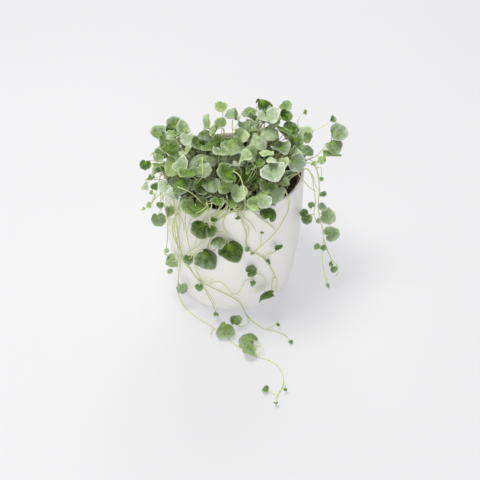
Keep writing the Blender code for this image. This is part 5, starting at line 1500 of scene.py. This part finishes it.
def hairs(feet, ways, length, draw):
    """Silky hairs as three-sided spikes: over (hair, corner), three corners round each foot and a tip that
    lies along its way, bent a little at random. Gives points and faces."""
    count = len(feet)
    ways = ways + draw.normal(0, HAIR_SPREAD, ways.shape)
    ways /= np.linalg.norm(ways, axis=1)[:, None]
    across = np.cross(ways, draw.normal(0, 1, ways.shape))
    across /= np.linalg.norm(across, axis=1)[:, None]
    over = np.cross(ways, across)
    turn = (2 * math.pi * np.arange(3) / 3)[:, None]
    corners = feet[:, None] + HAIR_RADIUS * (across[:, None] * np.cos(turn) + over[:, None] * np.sin(turn))
    tips = feet + ways * (length * draw.uniform(*HAIR_SHARES, count))[:, None]
    points = np.concatenate([corners, tips[:, None]], 1).reshape(-1, 3)
    spike = np.array([(0, 1, 3, 3), (1, 2, 3, 3), (2, 0, 3, 3), (2, 1, 0, 0)])
    return points, (4 * np.arange(count)[:, None, None] + spike).reshape(-1, 4)


def margin_hairs(leaf, draw):
    """Hairs round a blade's margin, which point away from the notch."""
    count = round(MARGIN_LENGTH * leaf["width"] * HAIRS_PER_METRE)
    angle = draw.uniform(-MARGIN_SWEEP, MARGIN_SWEEP, count)
    full = np.ones(count)
    rim = blade_points(leaf, angle, full) - MARGIN_CURL * leaf["width"] / GIVEN_WIDTH * leaf["normal"]
    return hairs(rim, rim - blade_points(leaf, angle, MARGIN_INSIDE * full), HAIR_LENGTH, draw)


def stalk_path(start, leave, leaf):
    """The part's own petiole curve, ended just past the notch: a cubic that leaves along leave and comes to
    the blade from below and behind."""
    reach = np.linalg.norm(leaf["base"] - start)
    arrive = unit(0.55 * leaf["tip"] + 0.83 * leaf["normal"])
    second = start + leave * reach * 0.38
    third = leaf["base"] - arrive * reach * 0.30
    end = leaf["base"] + 0.05 * leaf["width"] * leaf["tip"]
    t = np.linspace(0, 1, max(6, round(reach / STALK_STEP)))[:, None]
    return start * (1 - t) ** 3 + 3 * second * t * (1 - t) ** 2 + 3 * third * t**2 * (1 - t) + end * t**3


# Numbers of a piece's finishes, in the order of the list foliage
BLADE, STEM, HAIR = range(3)


class Bunch:
    """The surfaces that make up one piece: their points, faces, finishes and marks, put end to end."""

    def __init__(self):
        self.points, self.faces, self.finishes = [], [], []
        self.marks = {"rib": [], "share": [], "tone": [], "hue": []}
        self.count = 0

    def take(self, points, faces, finish_number, tone=0.5, marks=None):
        """Adds a surface with its tone, and the hue that goes with it. Marks that it doesn't have are 0."""
        self.points.append(points)
        self.faces.append(faces + self.count)
        self.finishes.append(np.full(len(faces), finish_number))
        marks = {"tone": tone, "hue": HUE_RATE * tone % 1, **(marks or {})}
        for name, values in self.marks.items():
            values.append(np.broadcast_to(marks.get(name, 0.0), len(points)))
        self.count += len(points)

    def made(self, name, materials):
        """The piece as an object, kept a hair above the floor."""
        points = np.vstack(self.points)
        points[:, 2] = np.maximum(points[:, 2], LEAST_HEIGHT)
        marks = {mark: np.concatenate(values) for mark, values in self.marks.items()}
        faces, finishes = np.vstack(self.faces), np.concatenate(self.finishes)
        return mesh_from(name, points, faces, materials, finishes, **marks)


def marked(tree, name):
    """The output of a mark on the mesh."""
    return add(tree, "Attribute", attribute_name=name).outputs["Fac"]


def silver_leaf():
    """Leaf skin: patchy green, brightest in the heart by the notch, under a felt of silver hairs. The tone
    mark
    paints light and shade: a leaf of low tone is darker green with thin felt, one of high tone lighter green
    with more silver felt. The felt thickens outwards, is thick along the margin and parts along the ribs, and
    the skin is quilted between them."""
    made, tree, shader = finish(
        "silver_leaf", (0.3, 0.4, 0.25), 0.62,
        Subsurface_Weight=0.20, Subsurface_Radius=(0.8, 1.6, 0.3), Subsurface_Scale=0.001,
        Sheen_Weight=0.04, Sheen_Roughness=0.35, Specular_IOR_Level=0.10,
    )
    painted_shade_green, painted_light_green = (0.012, 0.045, 0.001), (0.115, 0.21, 0.013)
    patch_green, heart_green, rib_green = (0.075, 0.155, 0.010), (0.17, 0.29, 0.012), (0.40, 0.52, 0.20)
    green_silver, white_silver = (0.48, 0.61, 0.28), (0.68, 0.75, 0.66)
    tone, share = marked(tree, "tone"), marked(tree, "share")
    # The ribs' mask, in which they stay equally wide as they part
    off_rib = maths(tree, "PINGPONG", marked(tree, "rib"), 0.5)
    off_rib = maths(tree, "MULTIPLY", off_rib, share)
    rib = maths(tree, "MULTIPLY_ADD", off_rib, -14.0, 1.0, clamp=True)
    # Painted shade and light: a low tone darkens the green, a high tone lightens it
    green = blended(tree, tone, painted_shade_green, painted_light_green)
    green = blended(tree, mottled(tree, 0.006, 3.0), green, patch_green)
    heart = maths(tree, "MULTIPLY_ADD", share, -1.7, 0.85, clamp=True)
    green = blended(tree, heart, green, heart_green)
    # How much the felt covers, from two mottles, the tone, the square of the share, and the rim
    felt = maths(tree, "MULTIPLY_ADD", mottled(tree, 0.0012, 2.5), 0.16, -0.35)
    felt = maths(tree, "MULTIPLY_ADD", mottled(tree, 0.004, 3.5), 0.26, felt)
    # Painted light: a leaf of high tone gets more silver felt, one of low tone less
    felt = maths(tree, "MULTIPLY_ADD", tone, 0.68, felt)
    felt = maths(tree, "MULTIPLY_ADD", maths(tree, "MULTIPLY", share, share), 0.36, felt)
    rim = maths(tree, "MULTIPLY_ADD", share, 11.0, -10.1, clamp=True)
    felt = maths(tree, "MULTIPLY_ADD", rim, 0.50, felt, clamp=True)
    silver = blended(tree, marked(tree, "hue"), green_silver, white_silver)
    skin = blended(tree, felt, green, silver)
    coloured(tree, shader, blended(tree, maths(tree, "MULTIPLY", rib, 0.16), skin, rib_green))
    tree.links.new(maths(tree, "MULTIPLY_ADD", felt, 0.25, 0.45), shader.inputs["Roughness"])
    felted = bumped(tree, shader, mottled(tree, 0.0009, 3.0), 0.00012)
    quilted = bumped(tree, shader, mottled(tree, 0.005, 2.0), 0.0012, felted)
    bumped(tree, shader, rib, -0.0001, quilted)
    return made


def green_stem():
    """Stems and stalks: pale yellow-green, olive where the tone is low, under thin silver hair."""
    made, tree, shader = finish(
        "green_stem", (0.5, 0.55, 0.27), 0.55,
        Subsurface_Weight=0.2, Subsurface_Radius=(1.0, 1.4, 0.4), Subsurface_Scale=0.001,
        Sheen_Weight=0.3, Sheen_Roughness=0.4, Specular_IOR_Level=0.35,
    )
    skin = blended(tree, marked(tree, "tone"), (0.36, 0.44, 0.13), (0.76, 0.83, 0.42))
    patches = maths(tree, "MULTIPLY", mottled(tree, 0.004, 3.0), 0.25)
    coloured(tree, shader, blended(tree, patches, skin, (0.44, 0.42, 0.17)))
    bumped(tree, shader, mottled(tree, 0.0008, 2.5), 0.00008)
    return made


def silver_hair():
    """Single silky hairs."""
    return finish("silver_hair", (0.74, 0.80, 0.72), 0.4, Sheen_Weight=0.5)[0]


def tone_and_light_range(node, leaf):
    """Least and most tone of a leaf, from 0 for green to 1 for silver. The range is painted light and shade:
    in the mound the most is how far out the leaf stands, so a leaf deep in it gets painted shade and one at
    its top painted light. Trailing leaves get more painted light at the sides and behind, less in front, and
    least where they are grown, under the front of the rim."""
    if node == "runner_front_leafy" and leaf["width"] > GROWN_WIDTH:
        return GROWN_TONES
    if node.startswith("runner"):
        return FRONT_TONES if "front" in node else OTHER_TONES
    out = np.linalg.norm((leaf["base"] - DOME_CENTRE) / DOME_RADII)
    return 0, float(np.clip((out - TONE_START) / TONE_SPAN, DEEP_SHADE_TONE, 1))


def dressed(node, stems, leaves, materials, draw):
    """One node's finer piece: its stems with a swelling at each leaf, then stalk, blade and hairs of each
    leaf in turn."""
    bunch = Bunch()
    starts = np.array([start for _, start, _ in leaves]).reshape(-1, 3)
    for path, start_radius, end_radius in stems:
        fine = smooth_path(path, STEM_STEP)
        along = np.linspace(0, 1, len(fine))
        radii = STEM_THINNING * (start_radius + (end_radius - start_radius) * along)
        away = np.linalg.norm(fine[:, None] - starts, axis=-1).min(1) if len(starts) else along + 1
        radii = radii * (1 + SWELLING * np.exp(-((away / SWELLING_LENGTH) ** 2)))
        radii[-3:] *= STEM_TIP
        bunch.take(*carried(fine, radii, STEM_ROUND), STEM, draw.uniform(*STEM_TONES))
        picks = draw.randint(1, len(fine) - 1, round(STEM_STEP * len(fine) * HAIRS_PER_METRE))
        ways = fine[picks] - fine[picks - 1] + draw.normal(0, STEM_HAIR_SPREAD, (len(picks), 3))
        bunch.take(*hairs(fine[picks], ways, STEM_HAIR_LENGTH, draw), HAIR)
    for leaf, start, leave in leaves:
        # A blade's tone is drawn within its range, so it paints light and shade as well as varying at random
        tone = draw.uniform(*tone_and_light_range(node, leaf))
        path = stalk_path(start, leave, leaf)
        taper = np.linspace(*STALK_TAPER, len(path))
        thick = STALK_RADIUS * taper * min(1.0, 0.55 + leaf["width"] / 0.035)
        bunch.take(*carried(path, thick, STALK_ROUND), STEM, draw.uniform(*STALK_TONES))
        points, faces, marks = blade_solid(leaf)
        bunch.take(points, faces, BLADE, tone, marks)
        bunch.take(*margin_hairs(leaf, draw), HAIR)
    return bunch.made(node + "_dressed", materials)


def grow_young_leaves(plant, draw):
    """Small leaves low in the mound: where light, or the eye, still gets down between the blades, one grows
    low on the way of the ray, on a stalk from the nearest shoot."""
    paths = [(node, path) for node, path, *_ in plant.stems if node.startswith("tuft")]
    shoots = [(node, place) for node, path in paths for place in path[3:]]
    places = np.array([place for _, place in shoots])
    wanted = len(plant.leaves) + YOUNG_LEAVES
    for number in range(YOUNG_RAYS):
        if len(plant.leaves) >= wanted:
            break
        around = number * GOLDEN_ANGLE
        towards_light = unit(np.array([math.cos(around), math.sin(around), draw.uniform(0.4, 2.0)]))
        if number % 3 == 0:
            towards_light = unit(TOWARDS_VIEWER + draw.normal(0, 0.05, 3))
        away, spread = draw.uniform(0, 2 * math.pi), YOUNG_SPREAD * math.sqrt(draw.uniform(0, 1))
        spot = DOME_CENTRE + DOME_RADII * np.array([math.cos(away), math.sin(away), 0]) * spread
        if not plant.lit(spot + towards_light * YOUNG_SIGHT, -towards_light, YOUNG_SIGHT):
            continue
        for climb in YOUNG_CLIMBS:
            centre = spot + towards_light * climb
            out = (((centre - DOME_CENTRE) / DOME_RADII) ** 2).sum()
            if not seen_in_mound(centre) or out > YOUNG_REACH:
                continue
            normal = unit(towards_light * 0.6 + UP * 0.5 + draw.normal(0, 0.3, 3))
            tip = unit(np.cross(np.cross(normal, draw.normal(0, 1, 3)), normal))
            leaf = shaped_leaf(centre, draw.uniform(*YOUNG_WIDTHS) * MM, tip, normal, draw)
            foot = centre * np.array([0.8, 0.8, 1])
            node, start = shoots[np.linalg.norm(places - foot, axis=1).argmin()]
            leave = unit(unit(leaf["base"] - start) + UP * 0.8)
            if plant.blade_clear(leaf) and plant.add_leaf(node, leaf, start, leave):
                break


def fine_stems():
    """Routes of the thin young stems that spill over the front of the rim and down both sides, by node."""
    return {
        "runner_front_tangle": [
            [
                hung(226, 200, -72), hung(222, 206, -79), wall(216, 212, 3), wall(209, 217, 3),
                wall(203, 224, 4),
            ],
            [
                hung(229, 203, -74), hung(227, 208.5, -80), wall(220, 214, 5), wall(212, 219, 5),
                wall(205, 221, 5),
            ],
            [
                hung(233, 203, -74), hung(230, 209, -80), wall(224, 216, 4), wall(215, 221, 4),
                wall(209, 230, 4), wall(207, 240, 4),
            ],
            [
                hung(222, 201, -73), hung(219, 208, -80), wall(215, 216, 4), wall(214, 224, 4),
                wall(218, 231, 4),
            ],
            [
                hung(243, 204, -74), hung(238, 209, -80), wall(228, 214, 3), wall(217, 216, 4),
                wall(207, 218, 4),
            ],
            [
                hung(239, 204, -75), hung(235, 209, -80), wall(226, 215, 5), wall(216, 222, 5),
                wall(209, 232, 5),
            ],
            [
                hung(231, 203, -73), hung(229, 209, -80), wall(225, 217, 3), wall(223, 226, 4),
                wall(229, 235, 4),
            ],
            [wall(202, 244, 7), wall(209, 236, 7), wall(218, 231, 6), wall(226, 234, 6), wall(228, 242, 5)],
        ],
        "runner_left_spray": [
            [hung(170, 172, -14), hung(160, 176, -15), hung(150, 181, -15), hung(144, 187, -15)],
            [hung(173, 180, -21), hung(165, 189, -21), hung(156, 198, -19), hung(146, 207, -18)],
            [hung(174, 186, -26), hung(165, 194, -26), hung(160, 204, -25), hung(163, 215, -26)],
            [hung(176, 178, -20), hung(163, 183, -19), hung(152, 190, -18), hung(141, 189, -18)],
        ],
        "runner_left_drop": [
            [
                hung(175, 190, -38), hung(170, 202, -40), hung(177, 212, -45), hung(183, 222, -50),
                hung(184, 232, -52),
            ],
            [hung(178, 192, -42), hung(184, 204, -58), hung(176, 216, -54), hung(168, 222, -42)],
            [hung(172, 196, -36), hung(166, 214, -36), hung(172, 236, -42), hung(176, 258, -44)],
        ],
        "runner_right_long": [
            [hung(297, 173, -24), hung(303, 180, -24), hung(309, 187, -23), hung(317, 192, -16)],
            [hung(306, 168, -10), hung(312, 174, -12), hung(316, 186, -12), hung(323, 196, -11)],
        ],
        "runner_front_middle": [
            [
                dome(233, 171, 1.05), dome(239, 175, 1.10), dome(243, 185, 1.13), hung(245, 198, -88),
                hung(245, 208, -87), wall(244, 219, 5),
            ],
            [hung(254, 204, -74), hung(262, 208, -78), hung(271, 204, -76), hung(277, 196, -68)],
            [
                hung(238, 203, -73), hung(240, 210, -79), wall(244, 217, 4), wall(251, 223, 4),
                wall(256, 232, 4),
            ],
            [
                hung(246, 205, -73), hung(250, 210, -78), wall(257, 212, 4), wall(263, 209, 5),
                wall(268, 204, 6),
            ],
            [
                hung(235, 204, -73), hung(237, 211, -80), wall(241, 219, 5), wall(248, 227, 4),
                wall(249, 237, 4),
            ],
            [
                hung(249, 204, -73), hung(245, 209, -80), wall(236, 212, 4), wall(227, 210, 4),
                wall(219, 213, 4),
            ],
            [wall(253, 271, 4), wall(259, 274, 4), wall(264, 278, 4), wall(267, 284, 4)],
        ],
        "runner_front_leafy": [
            [dome(178, 187, 1.06), dome(186, 190, 1.09), dome(194, 195, 1.09), dome(202, 203, 1.05)],
            [dome(202, 157, 1.05), dome(203, 167, 1.08), dome(202, 177, 1.08), dome(196, 184, 1.03)],
            [
                hung(209, 203, -74), hung(204, 209, -83), hung(197, 213, -84), wall(190, 222, 12),
                wall(186, 236, 10),
            ],
            [
                hung(212, 201, -70), hung(211, 208, -79), wall(206, 216, 6), wall(200, 226, 7),
                wall(196, 240, 7), wall(192, 252, 7),
            ],
            [wall(211, 238, 7), wall(208, 246, 8), wall(212, 251, 9), wall(219, 246, 9), wall(224, 240, 9)],
            [wall(172, 262, 8), wall(181, 258, 8), wall(190, 251, 8), wall(199, 245, 8), wall(204, 238, 8)],
            [wall(187, 263, 7), wall(192, 256, 8), wall(199, 251, 8), wall(206, 249, 8)],
        ],
        "runner_front_fork": [
            [
                hung(190, 198, -60), hung(187, 207, -66), hung(185, 220, -66), hung(187, 236, -66),
                wall(190, 250, 7), wall(194, 266, 6), wall(202, 281, 4),
            ],
            [
                hung(183, 199, -55), hung(178, 209, -60), hung(180, 224, -60), hung(177, 240, -59),
                hung(180, 256, -58), wall(188, 268, 6),
            ],
            [
                hung(174, 220, -46), hung(175, 233, -50), wall(181, 253, 5), wall(189, 268, 5),
                wall(199, 281, 5), wall(209, 294, 5), wall(216, 306, 4),
            ],
            [wall(184, 290, 6), wall(193, 287, 6), wall(203, 282, 5), wall(213, 279, 5)],
        ],
    }


plant = grow_plant()
draw = np.random.RandomState(LOOKS_SEED)
grow_young_leaves(plant, draw)
for node, routes in fine_stems().items():
    plant.stems += [(node, smooth_path(route, STEM_SPACING), *FINE_STEM_RADII) for route in routes]
foliage = [silver_leaf(), green_stem(), silver_hair()]
for node in dict.fromkeys(name for name, *_ in plant.stems):
    stems = [rest for name, *rest in plant.stems if name == node]
    leaves = [rest for name, *rest in plant.leaves if name == node]
    piece = dressed(node, stems, leaves, foliage, draw)
    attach(piece, "root")
    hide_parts(node)
